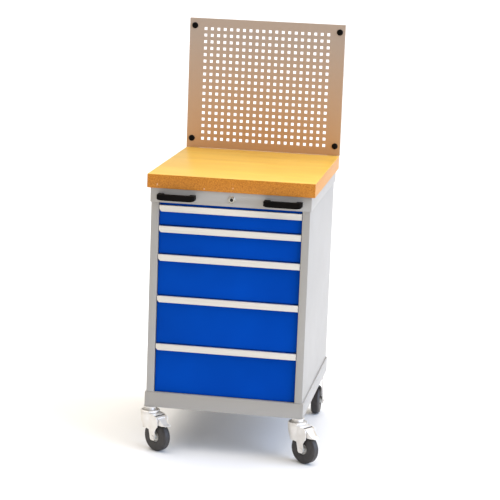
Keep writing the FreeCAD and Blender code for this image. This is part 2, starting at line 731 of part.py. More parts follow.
def make_tool_panel():
    """Sheet with a grid of square holes, folded back along its top and its two sides."""
    half = size("worktop_width / 2")
    pitch = size("hole_pitch")
    side = size("hole_side")
    columns = round(size("hole_columns"))
    rows = round(size("hole_rows"))
    height = size("panel_height")
    shank = size("shank_side / 2 + shank_gap")

    def loop(left, low, right, high):
        corners = [(left, low), (right, low), (right, high), (left, high), (left, low)]
        return Part.makePolygon([FreeCAD.Vector(x, 0, z) for x, z in corners])

    loops = [loop(-half, 0, half, height)]
    for column in range(columns):
        left = (column - (columns - 1) / 2) * pitch - side / 2
        for row in range(rows):
            low = size("hole_row_height") + row * pitch - side / 2
            loops.append(loop(left, low, left + side, low + side))
    for x in (size("panel_cap_inset") - half, half - size("panel_cap_inset")):
        for z in (size("panel_cap_low"), height - size("panel_cap_high")):
            loops.append(loop(x - shank, z - shank, x + shank, z + shank))
    sheet_metal = Part.Face(loops, "Part::FaceMakerBullseye")
    sheet_metal = sheet_metal.extrude(FreeCAD.Vector(0, size("panel_sheet"), 0))

    thickness = size("panel_sheet")
    depth = size("panel_fold") - thickness
    folds = [
        Part.makeBox(thickness, depth, height, FreeCAD.Vector(-half, thickness, 0)),
        Part.makeBox(thickness, depth, height, FreeCAD.Vector(half - thickness, thickness, 0)),
        Part.makeBox(2 * half, depth, thickness, FreeCAD.Vector(-half, thickness, height - thickness)),
    ]
    panel = document.addObject("Part::Feature", "tool_panel")
    panel.Shape = sheet_metal.multiFuse(folds).removeSplitter()
    return place(panel, "0", "worktop_back", "worktop_top")


def panel_cap_spots():
    """Where the four caps sit, as formulas for X and Z."""
    inset = "worktop_width / 2 - panel_cap_inset"
    heights = ("worktop_top + panel_cap_low", "panel_top - panel_cap_high")
    return [(f"{side} * ({inset})", height) for side in (-1, 1) for height in heights]


def make_uprights():
    """Two channels behind the panel, on the cap's back, with square holes for the caps' shanks."""
    uprights = []
    outer = "worktop_width / 2 - upright_inset"
    back = "rear_face + upright_depth"
    steps = [
        (outer, "rear_face"),
        (outer, back),
        (f"{outer} - upright_sheet", back),
        (f"{outer} - upright_sheet", "rear_face + upright_sheet"),
        (f"{outer} - upright_width + upright_sheet", "rear_face + upright_sheet"),
        (f"{outer} - upright_width + upright_sheet", back),
        (f"{outer} - upright_width", back),
        (f"{outer} - upright_width", "rear_face"),
    ]
    hole = "shank_side / 2 + shank_gap"
    start = "cap_top - upright_drop"
    for side in (-1, 1):
        word = "left" if side < 0 else "right"
        points = [(f"{side} * ({x})", y) for x, y in steps]
        length = f"panel_top - panel_sheet - lock_gap - ({start})"
        channel = extruded(f"upright_{word}_channel", "XY_Plane", points, start, length)
        spots = [spot for spot in panel_cap_spots() if spot[0].startswith(f"{side} ")]
        holes = [
            block(
                f"upright_{word}_hole_{index}",
                (f"{x} - ({hole})", f"{x} + {hole}"),
                ("rear_face", "rear_face + upright_sheet"),
                (f"{z} - ({hole})", f"{z} + {hole}"),
            )
            for index, (x, z) in enumerate(spots)
        ]
        uprights.append(cut(f"upright_{word}", channel, *holes))
    return group("panel_uprights", *uprights)


def make_panel_caps():
    """Round caps, each with a square shank through the panel and the upright."""
    caps = []
    for index, (x, z) in enumerate(panel_cap_spots()):
        body = new_body(f"panel_cap_{index}")
        sketch = sketch_on(body, "XZ_Plane", f"panel_cap_{index}_round")
        circle(sketch, "0", "0", "panel_cap_diameter / 2")
        pad(body, sketch, f"panel_cap_{index}_disc", "panel_cap_height")
        place(body, x, "worktop_back", z)
        half = "shank_side / 2"
        shank = block(
            f"panel_cap_{index}_shank",
            (f"{x} - {half}", f"{x} + {half}"),
            ("worktop_back", "rear_face + upright_sheet"),
            (f"{z} - {half}", f"{z} + {half}"),
        )
        caps.append(fuse(f"panel_cap_{index}_whole", body, shank))
    return group("panel_caps", *caps)


# Push handles

def make_handle(side):
    """Bow handle: full height at its two ends, lower along the grip, with rounded outer corners."""
    word = "left" if side < 0 else "right"
    name = f"push_handle_{word}"
    half = "handle_length / 2"
    inner = f"{half} - handle_leg"
    body = new_body(name)
    bow = sketch_on(body, "XY_Plane", name + "_bow", "-handle_height / 2")
    bow_points = [
        (f"-{half}", "0"),
        (f"-{half}", "-handle_reach"),
        (half, "-handle_reach"),
        (half, "0"),
        (inner, "0"),
        (f"{inner} - handle_slope", "handle_grip - handle_reach"),
        (f"handle_slope - ({inner})", "handle_grip - handle_reach"),
        (f"-({inner})", "0"),
    ]
    polygon(bow, bow_points)
    bar = pad(body, bow, name + "_bar", "handle_height")
    top = "handle_height / 2"
    dip = sketch_on(body, "XZ_Plane", name + "_dip")
    dip_points = [
        (f"handle_end - {half}", f"{top} + 1"),
        (f"handle_end + handle_slope - {half}", f"{top} - handle_dip"),
        (f"{half} - handle_end - handle_slope", f"{top} - handle_dip"),
        (f"{half} - handle_end", f"{top} + 1"),
    ]
    document.recompute()
    reach = size("-handle_reach")
    end = size(half)

    def outer_corner(edge):
        box = edge.BoundBox
        upright = box.ZLength > 1 and box.XLength < 0.001 and box.YLength < 0.001
        return upright and abs(box.YMin - reach) < 0.001 and abs(abs(box.XMin) - end) < 0.001

    polygon(dip, dip_points)
    dress(body, "Fillet", bar, name + "_corners", "handle_corner", outer_corner)
    pocket(body, dip, name + "_lower")
    middle = f"{side} * (body_side + cap_step - handle_inset)"
    return place(body, middle, "fascia_face", "cap_top - handle_drop")


# Lock

def make_lock_housing():
    """Rosette on the fascia and barrel through it, bored for the plug."""
    body = new_body("lock_housing")
    sketch = sketch_on(body, "XY_Plane", "lock_housing_profile")
    bore = "plug_diameter / 2 + plug_gap"
    rosette = "rosette_diameter / 2"
    points = [
        (bore, "-rosette_height"),
        (rosette, "-rosette_height"),
        (rosette, "0"),
        ("barrel_diameter / 2", "0"),
        ("barrel_diameter / 2", "barrel_length - lock_gap"),
        (bore, "barrel_length - lock_gap"),
    ]
    polygon(sketch, points)
    revolve(body, sketch, "lock_housing_turned")
    return place(body, "lock_offset", "fascia_face", "lock_middle")


def make_lock_plug():
    """Plug with the keyhole in its face."""
    body = new_body("lock_plug")
    sketch = sketch_on(body, "XZ_Plane", "lock_plug_round", "-barrel_length")
    circle(sketch, "0", "0", "plug_diameter / 2")
    pad(body, sketch, "lock_plug_bar", "barrel_length + rosette_height")
    slot = sketch_on(body, "XZ_Plane", "lock_plug_slot", "rosette_height")
    across = ("-keyhole_width / 2", "keyhole_width / 2")
    upright = ("-keyhole_height / 2", "keyhole_height / 2")
    polygon(slot, rectangle(across, upright))
    pocket(body, slot, "lock_plug_keyhole", "keyhole_depth")
    return place(body, "lock_offset", "fascia_face", "lock_middle")


def make_lock_cam():
    """Arm on the plug's end; its pin pushes the rod. Drawn hanging, then turned to its rest."""
    body = new_body("lock_cam")
    sketch = sketch_on(body, "XZ_Plane", "lock_cam_outline", "-lock_sheet")
    root = "plug_diameter / 2"
    tip = "lock_pin / 2 + lock_border / 2"
    points = [
        (f"-{root}", "0"),
        (f"-{root} / 2", root),
        (f"{root} / 2", root),
        (root, "0"),
        (tip, f"-cam_radius - ({tip})"),
        (f"-({tip})", f"-cam_radius - ({tip})"),
    ]
    polygon(sketch, points)
    pad(body, sketch, "lock_cam_arm", "lock_sheet")
    pin = sketch_on(body, "XZ_Plane", "lock_cam_pin_round", "-(2 * lock_sheet + lock_gap)")
    circle(pin, "0", "-cam_radius", "lock_pin / 2")
    pad(body, pin, "lock_cam_pin", "lock_sheet + lock_gap")
    body.Placement.Rotation = FreeCAD.Rotation(FreeCAD.Vector(0, -1, 0), size("lock_turn / 2"))
    place(body, "lock_offset", "barrel_end", "lock_middle")
    body.setExpression("Placement.Rotation.Angle", formula("lock_turn / 2"))
    return body


def make_lock_rod():
    """Flat rod from the cam to the locking strip, with an upright slot and a sloping one."""
    low = "lock_middle - cam_radius - slot_half - lock_border"
    high = "lock_middle - pin_hang + slot_half + lock_border"
    plate_right = "strip_pin + lock_travel + slot_half + lock_border"
    plate_high = "strip_pin_height + slot_half + lock_border"
    right = "lock_offset + pin_swing + slot_half + lock_border"
    left = "strip_pin - slot_half - lock_border"
    body = new_body("lock_rod")
    sketch = sketch_on(body, "XZ_Plane", "lock_rod_outline", "-(rod_front + lock_sheet)")
    outline = [
        (left, low),
        (right, low),
        (right, high),
        (plate_right, high),
        (plate_right, plate_high),
        (left, plate_high),
    ]
    polygon(sketch, outline)
    cam_slot_x = ("lock_offset + pin_swing - slot_half", "lock_offset + pin_swing + slot_half")
    cam_slot_z = ("lock_middle - cam_radius - slot_half", "lock_middle - pin_hang + slot_half")
    polygon(sketch, rectangle(cam_slot_x, cam_slot_z))
    slope = [
        ("strip_pin", "strip_pin_height + slot_tip"),
        ("strip_pin - slot_tip", "strip_pin_height"),
        ("strip_pin + lock_travel", "strip_pin_height - lock_travel - slot_tip"),
        ("strip_pin + lock_travel + slot_tip", "strip_pin_height - lock_travel"),
    ]
    polygon(sketch, slope)
    pad(body, sketch, "lock_rod_bar", "lock_sheet")
    return body


def make_lock_strip():
    """Upright strip with a tooth for each drawer and a lug at its top that carries the rod's pin."""
    points = [("strip_outside", "strip_foot"), ("strip_inside", "strip_foot")]
    for drawer in reversed(DRAWERS):
        low = f"{catch_foot(drawer)} + catch_height + catch_play"
        high = f"{low} + tooth_height"
        points += [("strip_inside", low), ("tooth_end", low), ("tooth_end", high), ("strip_inside", high)]
    lug_low = "strip_pin_height - lock_pin / 2 - lock_border"
    lug_high = "strip_pin_height + lock_pin / 2 + lock_border"
    lug_end = "strip_pin + lock_pin / 2 + lock_border"
    points += [("strip_inside", lug_low), (lug_end, lug_low)]
    points += [(lug_end, lug_high), ("strip_outside", lug_high)]
    body = extruded("lock_strip", "XZ_Plane", points, "-(strip_front + lock_sheet)", "lock_sheet")
    pin = sketch_on(body, "XZ_Plane", "lock_strip_pin_round", "-strip_front")
    circle(pin, "strip_pin", "strip_pin_height", "lock_pin / 2")
    pad(body, pin, "lock_strip_pin", "lock_gap + lock_sheet")
    return body


# Casters

def turned(name, points):
    """A body turned about its own Y axis from an outline of radius against width."""
    body = new_body(name)
    sketch = sketch_on(body, "XY_Plane", name + "_profile")
    polygon(sketch, points)
    revolve(body, sketch, name + "_turned")
    return body


def make_wheel(word):
    """Tyre and hub of one wheel, both about its own Y axis."""
    rim = "wheel_radius - tyre_wall"
    half = "tyre_width / 2"
    tyre_points = [(rim, f"-{half}"), ("wheel_radius", f"-{half}"), ("wheel_radius", half), (rim, half)]
    bore = "axle_diameter / 2 + axle_gap"
    boss = "fork_inside - wheel_play"
    hub_points = [
        (bore, f"-({boss})"),
        ("boss_diameter / 2", f"-({boss})"),
        ("boss_diameter / 2", f"hub_recess - {half}"),
        (rim, f"hub_recess - {half}"),
        (rim, f"{half} - hub_recess"),
        ("boss_diameter / 2", f"{half} - hub_recess"),
        ("boss_diameter / 2", boss),
        (bore, boss),
    ]
    return turned(f"{word}_tyre", tyre_points), turned(f"{word}_hub", hub_points)


def make_axle(name):
    """Axle from one leg's outer face to the other's."""
    body = new_body(name)
    sketch = sketch_on(body, "XZ_Plane", name + "_round", "-fork_side")
    circle(sketch, "0", "0", "axle_diameter / 2")
    pad(body, sketch, name + "_bar", "fork_width")
    return body


def front_caster_place(side, out="0"):
    """Formulas for a point of a front caster, out along its trail from the swivel axis."""
    x = f"{side} * (plinth_side - front_caster_side) + ({out}) * cos(front_caster_turn)"
    y = f"plinth_face + front_caster_front + ({out}) * sin(front_caster_turn)"
    return x, y


def make_front_fork(name):
    """Pressed hood, round behind and open in front, with two legs down to the axle."""
    body = new_body(name)
    low = "wheel_radius - leg_end"
    hood = sketch_on(body, "XY_Plane", name + "_hood", low)
    nose_outline(hood, "fork_side", "fork_reach")
    pad(body, hood, name + "_whole", f"crown_top - ({low})")
    plate = sketch_on(body, "XY_Plane", name + "_plate", "crown_top - crown_rim")
    circle(plate, "0", "0", "crown_diameter / 2")
    pad(body, plate, name + "_crown", "crown_rim")
    hollow = sketch_on(body, "XY_Plane", name + "_hollow", "crown_top - crown_sheet")
    nose_outline(hollow, "fork_inside", "fork_reach + fork_sheet")
    pocket(body, hollow, name + "_inside", "crown_top")
    sides = sketch_on(body, "XZ_Plane", name + "_sides")
    margin = "wheel_diameter"
    polygon(sides, rectangle((f"-{margin}", f"trail + {margin}"), ("0", f"crown_top + {margin}")))
    skirt = "wheel_diameter - skirt_drop"
    above = "crown_top + crown_sheet"
    beyond = "fork_reach + fork_sheet"
    kept = [
        ("-fork_width", above),
        ("crown_front", above),
        ("crown_front", "crown_top"),
        (beyond, "pedal_pivot_height - pedal_hub / 2"),
        (beyond, skirt + " + leg_end / 2"),
        ("trail + leg_spread", skirt + " - leg_end / 2"),
        ("trail + leg_end", "wheel_radius"),
        ("trail + leg_end / 2", low),
        ("trail - leg_end / 2", low),
        ("trail - leg_end", "wheel_radius"),
        ("trail - leg_spread", skirt + " - leg_end / 2"),
        ("0", skirt),
        ("-fork_width", skirt + " + skirt_rise"),
    ]
    polygon(sides, kept)
    pocket(body, sides, name + "_legs")
    bores = sketch_on(body, "XZ_Plane", name + "_bores")
    circle(bores, "trail", "wheel_radius", "axle_diameter / 2")
    circle(bores, "pedal_pivot_out", "pedal_pivot_height", "pedal_pin / 2 + axle_gap")
    pocket(body, bores, name + "_holes")
    centre = sketch_on(body, "XY_Plane", name + "_centre", "crown_top")
    circle(centre, "0", "0", "kingpin_diameter / 2 + kingpin_gap")
    pocket(body, centre, name + "_kingpin_hole", "crown_sheet")
    return body


def nose_outline(sketch, half, reach):
    """Outline with a half circle round the origin and straight sides out to the reach."""
    side = size(half)
    end = size(reach)
    corners = [(0, -side), (end, -side), (end, side), (0, side)]
    spots = [FreeCAD.Vector(x, y, 0) for x, y in corners]
    for start, stop in zip(spots, spots[1:]):
        sketch.addGeometry(Part.LineSegment(start, stop), False)
    ring = Part.Circle(FreeCAD.Vector(0, 0, 0), FreeCAD.Vector(0, 0, 1), side)
    quarter = 1.5707963267948966
    sketch.addGeometry(Part.ArcOfCircle(ring, quarter, 3 * quarter), False)
    for first, second in ((0, 1), (1, 2)):
        sketch.addConstraint(Sketcher.Constraint("Coincident", first, 2, second, 1))
    sketch.addConstraint(Sketcher.Constraint("Coincident", 2, 2, 3, 1))
    sketch.addConstraint(Sketcher.Constraint("Coincident", 3, 2, 0, 1))
    sketch.addConstraint(Sketcher.Constraint("DistanceX", -1, 1, 3, 3, 0))
    ends = [(0, 1, "0", f"-({half})"), (1, 1, reach, f"-({half})"), (2, 1, reach, half), (2, 2, "0", half)]
    for line, point, x, y in ends:
        for kind, text in (("DistanceX", x), ("DistanceY", y)):
            number = sketch.addConstraint(Sketcher.Constraint(kind, -1, 1, line, point, size(text)))
            sketch.setExpression(f"Constraints[{number}]", formula(text))


def make_swivel_heads():
    """Each head: flange against the plinth, bearing body and the kingpin with its lower head."""
    heads = []
    for side in (-1, 1):
        name = f"swivel_head_{'left' if side < 0 else 'right'}"
        body = new_body(name)
        sketch = sketch_on(body, "XZ_Plane", name + "_profile")
        pin = "kingpin_diameter / 2"
        under = "crown_top - crown_sheet - swivel_gap"
        points = [
            ("0", "caster_height"),
            ("head_flange / 2", "caster_height"),
            ("head_flange / 2", "caster_height - head_rim"),
            ("head_diameter / 2", "caster_height - head_rim"),
            ("head_diameter / 2", "caster_height - head_height"),
            (pin, "caster_height - head_height"),
            (pin, under),
            ("kingpin_head / 2", under),
            ("kingpin_head / 2", f"{under} - head_rim"),
            ("0", f"{under} - head_rim"),
        ]
        polygon(sketch, points)
        revolve(body, sketch, name + "_turned")
        heads.append(place(body, *front_caster_place(side)))
    return group("swivel_heads", *heads)


def tyre_top(out):
    """Height of the wheel's tread at a distance out from the swivel axis."""
    return f"wheel_radius + sqrt(wheel_radius * wheel_radius - ({out} - trail) * ({out} - trail))"


def make_pedal(name):
    """Brake pedal: hub between the fork's sides, sloping foot plate and shoe above the tyre."""
    body = new_body(name)
    half = "fork_inside - wheel_play"
    sketch = sketch_on(body, "XZ_Plane", name + "_side", f"-({half})")
    x = "pedal_pivot_out"
    z = "pedal_pivot_height"
    hub = "pedal_hub / 2"
    near = f"{x} + shoe_out"
    far = f"{near} + shoe_length"
    under = f"{z} - {hub}"
    points = [
        (f"{x} - {hub}", z),
        (f"{x} - {hub} / 2", f"{z} + {hub}"),
        (f"{x} + {hub} / 2", f"{z} + {hub}"),
        (f"{x} + pedal_reach", f"{z} - pedal_fall + pedal_sheet / 2"),
        (f"{x} + pedal_reach", f"{z} - pedal_fall - pedal_sheet / 2"),
        (far, under),
        (far, f"{tyre_top(far)} + brake_gap_far"),
        (near, f"{tyre_top(near)} + brake_gap"),
        (near, under),
        (f"{x} - {hub} / 2", under),
    ]
    polygon(sketch, points)
    pad(body, sketch, name + "_pad", f"2 * ({half})")
    pin = sketch_on(body, "XZ_Plane", name + "_pin_round", "-fork_side")
    circle(pin, x, z, "pedal_pin / 2")
    pad(body, pin, name + "_pin", "fork_width")
    return body


def make_front_caster(side):
    """Everything of one front caster that turns with its fork."""
    word = "left" if side < 0 else "right"
    turn = "front_caster_turn"
    axis = front_caster_place(side)
    wheel_spot = front_caster_place(side, "trail")
    fork = place(make_front_fork(f"front_fork_{word}"), *axis, turn=turn)
    pedal = place(make_pedal(f"brake_pedal_{word}"), *axis, turn=turn)
    axle = place(make_axle(f"front_axle_{word}"), *wheel_spot, "wheel_radius", turn)
    wheel = [place(piece, *wheel_spot, "wheel_radius", turn) for piece in make_wheel(f"front_{word}")]
    return [fork, pedal, axle, *wheel]


def make_fixed_fork(name):
    """Fixed fork: top plate and two legs that narrow to the axle, with its length along X."""
    half_plate = "fixed_plate_length / 2"
    half_leg = "fixed_leg_width / 2"
    low = "wheel_radius - leg_end"
    under = "caster_height - fork_sheet"
    channel = extruded(
        name + "_channel",
        "YZ_Plane",
        [
            ("-fork_side", low),
            ("-fork_side", "caster_height"),
            ("fork_side", "caster_height"),
            ("fork_side", low),
            ("fork_inside", low),
            ("fork_inside", under),
            ("-fork_inside", under),
            ("-fork_inside", low),
        ],
        f"-{half_plate}",
        "fixed_plate_length",
    )
    sides = sketch_on(channel, "XZ_Plane", name + "_sides")
    margin = "fork_width"
    ends = (f"-{half_plate} - {margin}", f"{half_plate} + {margin}")
    polygon(sides, rectangle(ends, (f"{low} - {margin}", under)))
    kept = [
        (f"-{half_leg}", under),
        (f"{half_leg}", under),
        ("leg_end", "wheel_radius"),
        ("leg_end / 2", low),
        ("-leg_end / 2", low),
        ("-leg_end", "wheel_radius"),
    ]
    polygon(sides, kept)
    pocket(channel, sides, name + "_legs")
    bores = sketch_on(channel, "XZ_Plane", name + "_bores")
    circle(bores, "0", "wheel_radius", "axle_diameter / 2")
    pocket(channel, bores, name + "_axle_holes")
    channel.Label = name
    return channel


def make_rear_casters():
    """Forks, wheels and axles of the two fixed casters."""
    forks = []
    wheels = []
    axles = []
    for side in (-1, 1):
        word = "left" if side < 0 else "right"
        spot = (f"{side} * (plinth_side - rear_caster_side)", "rear_face - rear_caster_back")
        forks.append(place(make_fixed_fork(f"rear_fork_{word}"), *spot, turn="-90"))
        axles.append(place(make_axle(f"rear_axle_{word}"), *spot, "wheel_radius", "-90"))
        wheels += [place(piece, *spot, "wheel_radius", "-90") for piece in make_wheel(f"rear_{word}")]
    return [group("rear_forks", *forks), group("rear_axles", *axles), *wheels]


def make_all():
    """Every sub-part, in the order in which the cabinet goes together."""
    parts = [make_worktop(), make_top_cap(), make_side_panel(-1), make_side_panel(1)]
    parts += [make_back_panel(), make_plinth(), make_slide_supports(), make_cabinet_rails()]
    for number, drawer in enumerate(DRAWERS, start=1):
        for make in (make_drawer_box, make_drawer_front, make_grip, make_drawer_fittings, make_runners):
            parts.append(make(number, drawer))
    parts += [make_tool_panel(), make_uprights(), make_panel_caps(), make_handle(-1), make_handle(1)]
    parts += [make_lock_housing(), make_lock_plug(), make_lock_cam(), make_lock_rod(), make_lock_strip()]
    parts += [make_swivel_heads(), *make_front_caster(-1), *make_front_caster(1), *make_rear_casters()]
    return parts


def export(parts):
    """Check every object and shape, then write one file for each sub-part."""
    document.recompute()
    for item in document.Objects:
        if "Invalid" in item.State or "Error" in item.State:
            raise ValueError(f"{item.Label} failed: {item.State}")
    os.makedirs("parts", exist_ok=True)
    for part in parts:
        if part.Shape.isNull() or not part.Shape.isValid():
            raise ValueError(f"{part.Label} has no sound shape")
        part.Shape.exportStep(f"parts/{part.Label}.step")


fill_sheet()
export(make_all())
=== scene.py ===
"""Looks of a rolling tool cabinet: blue drawers in a grey steel body, a beech top and a perforated panel."""

import json
import math

import bmesh
import bpy
from mathutils import Matrix, Vector


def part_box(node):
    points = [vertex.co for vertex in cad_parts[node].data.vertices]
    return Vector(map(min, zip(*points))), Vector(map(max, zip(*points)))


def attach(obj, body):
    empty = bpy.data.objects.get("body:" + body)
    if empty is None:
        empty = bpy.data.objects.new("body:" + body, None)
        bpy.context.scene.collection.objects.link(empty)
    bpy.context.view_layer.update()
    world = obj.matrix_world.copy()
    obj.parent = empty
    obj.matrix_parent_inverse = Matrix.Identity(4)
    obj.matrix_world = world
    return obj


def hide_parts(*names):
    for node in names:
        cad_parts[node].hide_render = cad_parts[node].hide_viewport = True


MM = 0.001
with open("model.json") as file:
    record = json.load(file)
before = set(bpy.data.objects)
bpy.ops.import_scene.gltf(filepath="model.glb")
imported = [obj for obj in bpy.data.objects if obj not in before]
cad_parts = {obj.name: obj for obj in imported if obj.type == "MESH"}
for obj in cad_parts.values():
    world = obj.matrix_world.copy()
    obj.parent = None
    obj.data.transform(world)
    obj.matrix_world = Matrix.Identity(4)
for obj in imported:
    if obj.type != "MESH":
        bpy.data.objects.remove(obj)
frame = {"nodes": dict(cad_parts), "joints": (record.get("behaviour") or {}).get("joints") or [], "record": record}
nodes = frame["nodes"]
joints = {joint["name"]: joint for joint in frame["joints"]}
body_of_node = {
    node: body for body, members in frame["record"]["behaviour"]["bodies"].items() for node in members
}
slot_of_node = {row["node"]: row["material_slot"] for row in frame["record"]["subparts"]}
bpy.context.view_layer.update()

DRAWERS = [f"drawer_{number}" for number in range(1, 6)]
SIDES = ("left", "right")
WHEELS = [f"{end}_{side}" for end in ("front", "rear") for side in SIDES]

QUARTER = math.radians(90)
SHARP = 35  # degrees from which an edge counts as sharp
UP = Vector((0, 0, 1))
BACKWARD = Vector((0, 1, 0))


# Colours and shader trees


def linear(text):
    """An sRGB colour such as 'C8A060' as linear RGBA."""
    parts = [int(text[index : index + 2], 16) / 255 for index in (0, 2, 4)]
    parts = [part / 12.92 if part <= 0.04045 else ((part + 0.055) / 1.055) ** 2.4 for part in parts]
    return (*parts, 1.0)


def grey(value):
    """A linear grey as RGBA."""
    return (value, value, value, 1.0)


def add(tree, kind, sockets=None, **settings):
    """One node, with its settings, and with each named input set or linked."""
    node = tree.nodes.new(kind)
    for name, value in settings.items():
        setattr(node, name, value)
    for name, value in (sockets or {}).items():
        socket = node.inputs[name]
        if isinstance(value, bpy.types.NodeSocket):
            tree.links.new(value, socket)
        else:
            socket.default_value = value
    return node


def new_material(name, colour, roughness, metallic=0.0, **sockets):
    """A material with its shader, and the object's own coordinates in metres."""
    material = bpy.data.materials.new(name)
    material.use_nodes = True
    tree = material.node_tree
    shader = tree.nodes["Principled BSDF"]
    shader.inputs["Base Color"].default_value = linear(colour)
    shader.inputs["Roughness"].default_value = roughness
    shader.inputs["Metallic"].default_value = metallic
    for key, value in sockets.items():
        label = " ".join("IOR" if word == "ior" else word.capitalize() for word in key.split("_"))
        shader.inputs[label].default_value = value
    coordinates = add(tree, "ShaderNodeTexCoord").outputs["Object"]
    return material, tree, shader, coordinates


def calculate(tree, operation, *values):
    """The result of one sum on numbers or sockets."""
    return add(tree, "ShaderNodeMath", dict(enumerate(values)), operation=operation).outputs[0]


def blend(tree, fac, first, second, kind="MIX"):
    """The second colour mixed into the first, or multiplied with it, by a share."""
    sockets = {"Factor": fac, 6: first, 7: second}
    return add(tree, "ShaderNodeMix", sockets, data_type="RGBA", blend_type=kind).outputs[2]


def stretched(tree, coordinates, x, y, z):
    """Coordinates scaled so that one unit is x, y and z millimetres."""
    scale = (1000 / x, 1000 / y, 1000 / z)
    return add(tree, "ShaderNodeMapping", {"Vector": coordinates, "Scale": scale}).outputs["Vector"]


def noise(tree, vector, detail=3.0, rough=0.5, seed=0.0):
    """Noise whose grain is one unit of the vector."""
    sockets = {"Vector": vector, "W": seed, "Scale": 1.0, "Detail": detail, "Roughness": rough}
    return add(tree, "ShaderNodeTexNoise", sockets, noise_dimensions="4D").outputs["Fac"]


def cloud(tree, coordinates, size, detail=3.0):
    """Noise as large along every axis, in millimetres."""
    return noise(tree, stretched(tree, coordinates, size, size, size), detail)


def ramp(tree, fac, low, high, start, stop):
    """A value or colour that goes from start to stop while fac goes from low to high."""
    node = add(tree, "ShaderNodeValToRGB", {"Fac": fac})
    first, last = node.color_ramp.elements
    first.position, first.color = low, start
    last.position, last.color = high, stop
    return node.outputs["Color"]


def bump(tree, shader, height, depth):
    """Relief of a depth in millimetres."""
    normal = add(tree, "ShaderNodeBump", {"Height": height, "Distance": depth * MM, "Strength": 1.0})
    tree.links.new(normal.outputs["Normal"], shader.inputs["Normal"])


def paint(tree, shader, fac, low, high, start, stop):
    """The shader's colour, between two sRGB colours along fac."""
    colour = ramp(tree, fac, low, high, linear(start), linear(stop))
    tree.links.new(colour, shader.inputs["Base Color"])


def soften_gloss(tree, shader, fac, low, high):
    """The shader's roughness, between two values along fac."""
    tree.links.new(ramp(tree, fac, 0.3, 0.7, grey(low), grey(high)), shader.inputs["Roughness"])


# Finishes


def spray(tree, shader, place, roughness):
    """A sprayed coat's slightly uneven gloss and its fine orange peel."""
    soften_gloss(tree, shader, cloud(tree, place, 60), roughness - 0.02, roughness + 0.02)
    bump(tree, shader, cloud(tree, place, 2.2, 1.0), 0.03)


def powder_coat(name, dark, light, roughness=0.42, sheen=0.3):
    """Polyester powder coat, sprayed and baked: an even colour with a soft sheen."""
    material, tree, shader, place = new_material(name, light, roughness, specular_ior_level=sheen)
    paint(tree, shader, cloud(tree, place, 240, 2.0), 0.3, 0.7, dark, light)
    spray(tree, shader, place, roughness)
    return material


def panel_coat_with_painted_bounce():
    """The tool panel's coat: warm grey, with its front more orange towards the board below, which is painted warm
    bounce light from the board.
    """
    roughness = 0.4
    material, tree, shader, place = new_material(
        "warm_grey_coat_painted_bounce", "AE9986", roughness, specular_ior_level=0.3
    )
    split = add(tree, "ShaderNodeSeparateXYZ", {"Vector": place})
    above = calculate(tree, "SUBTRACT", split.outputs["Z"], 1.0)
    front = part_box("tool_panel")[0].y + 0.5 * MM
    behind = calculate(tree, "GREATER_THAN", split.outputs["Y"], front)
    # painted bounce light: orange low on the front, fading into the grey between 1.05 and 1.45 m up; the back
    # stays grey
    paint(tree, shader, calculate(tree, "ADD", above, behind), 0.05, 0.45, "C09468", "AB9785")
    spray(tree, shader, place, roughness)
    return material


def beech_face():
    """Glued beech staves, sanded and clear varnished: long soft grain, short dark flecks, a thin gloss."""
    material, tree, shader, place = new_material(
        "varnished_beech_face", "E9B764", 0.34, coat_weight=0.25, coat_roughness=0.3
    )
    stave_width = 46 * MM
    split = add(tree, "ShaderNodeSeparateXYZ", {"Vector": place})
    row = calculate(tree, "MULTIPLY", split.outputs["Y"], 1 / stave_width)
    stave = calculate(tree, "FLOOR", row)
    tone = add(tree, "ShaderNodeTexWhiteNoise", {"W": stave}, noise_dimensions="1D").outputs["Value"]
    seed = calculate(tree, "MULTIPLY", tone, 9.0)
    grain = noise(tree, stretched(tree, place, 160, 7, 7), 4.0, 0.55, seed)
    fleck = noise(tree, stretched(tree, place, 9, 1.6, 1.6), 2.0, 0.5, seed)
    broad = noise(tree, stretched(tree, place, 300, 260, 200), 2.0)
    base = ramp(tree, grain, 0.3, 0.72, linear("ECB43C"), linear("F8CE5E"))
    flecks = ramp(tree, fleck, 0.62, 0.74, grey(0.0), grey(0.22))
    speckled = blend(tree, flecks, base, linear("B4701F"))
    shade = ramp(tree, calculate(tree, "ADD", tone, broad), 0.4, 1.0, grey(0.93), grey(1.0))
    tree.links.new(blend(tree, 1.0, speckled, shade, "MULTIPLY"), shader.inputs["Base Color"])
    soften_gloss(tree, shader, grain, 0.28, 0.4)
    bump(tree, shader, grain, 0.05)
    return material


def beech_edge(name, dark, light, scratched):
    """Sawn and varnished edge of the staves: fine speckle, and light saw scratches of a given strength."""
    material, tree, shader, place = new_material(name, light, 0.5, specular_ior_level=0.25)
    speck = noise(tree, stretched(tree, place, 4.5, 4.5, 3.5), 5.0, 0.75)
    scratch = noise(tree, stretched(tree, place, 16, 16, 24), 3.0, 0.6, 3.0)
    base = ramp(tree, speck, 0.36, 0.64, linear(dark), linear(light))
    scratches = ramp(tree, scratch, 0.66, 0.7, grey(0.0), grey(scratched))
    tree.links.new(blend(tree, scratches, base, linear("F4DDB8")), shader.inputs["Base Color"])
    soften_gloss(tree, shader, speck, 0.38, 0.55)
    bump(tree, shader, speck, 0.12)
    return material


def plug_steel_painted_shade():
    """The lock's plug, painted near black as the shade in a recessed keyhole, with fine turning marks."""
    material, tree, shader, place = new_material("plug_steel_painted_shade", "16130F", 0.4, 0.3)
    marks = noise(tree, stretched(tree, place, 0.6, 8, 0.6), 1.0)
    # painted shade: the whole plug face is dark, standing in for the shadow of the keyhole recess
    paint(tree, shader, marks, 0.3, 0.7, "100D0A", "1C1813")
    bump(tree, shader, marks, 0.02)
    return material


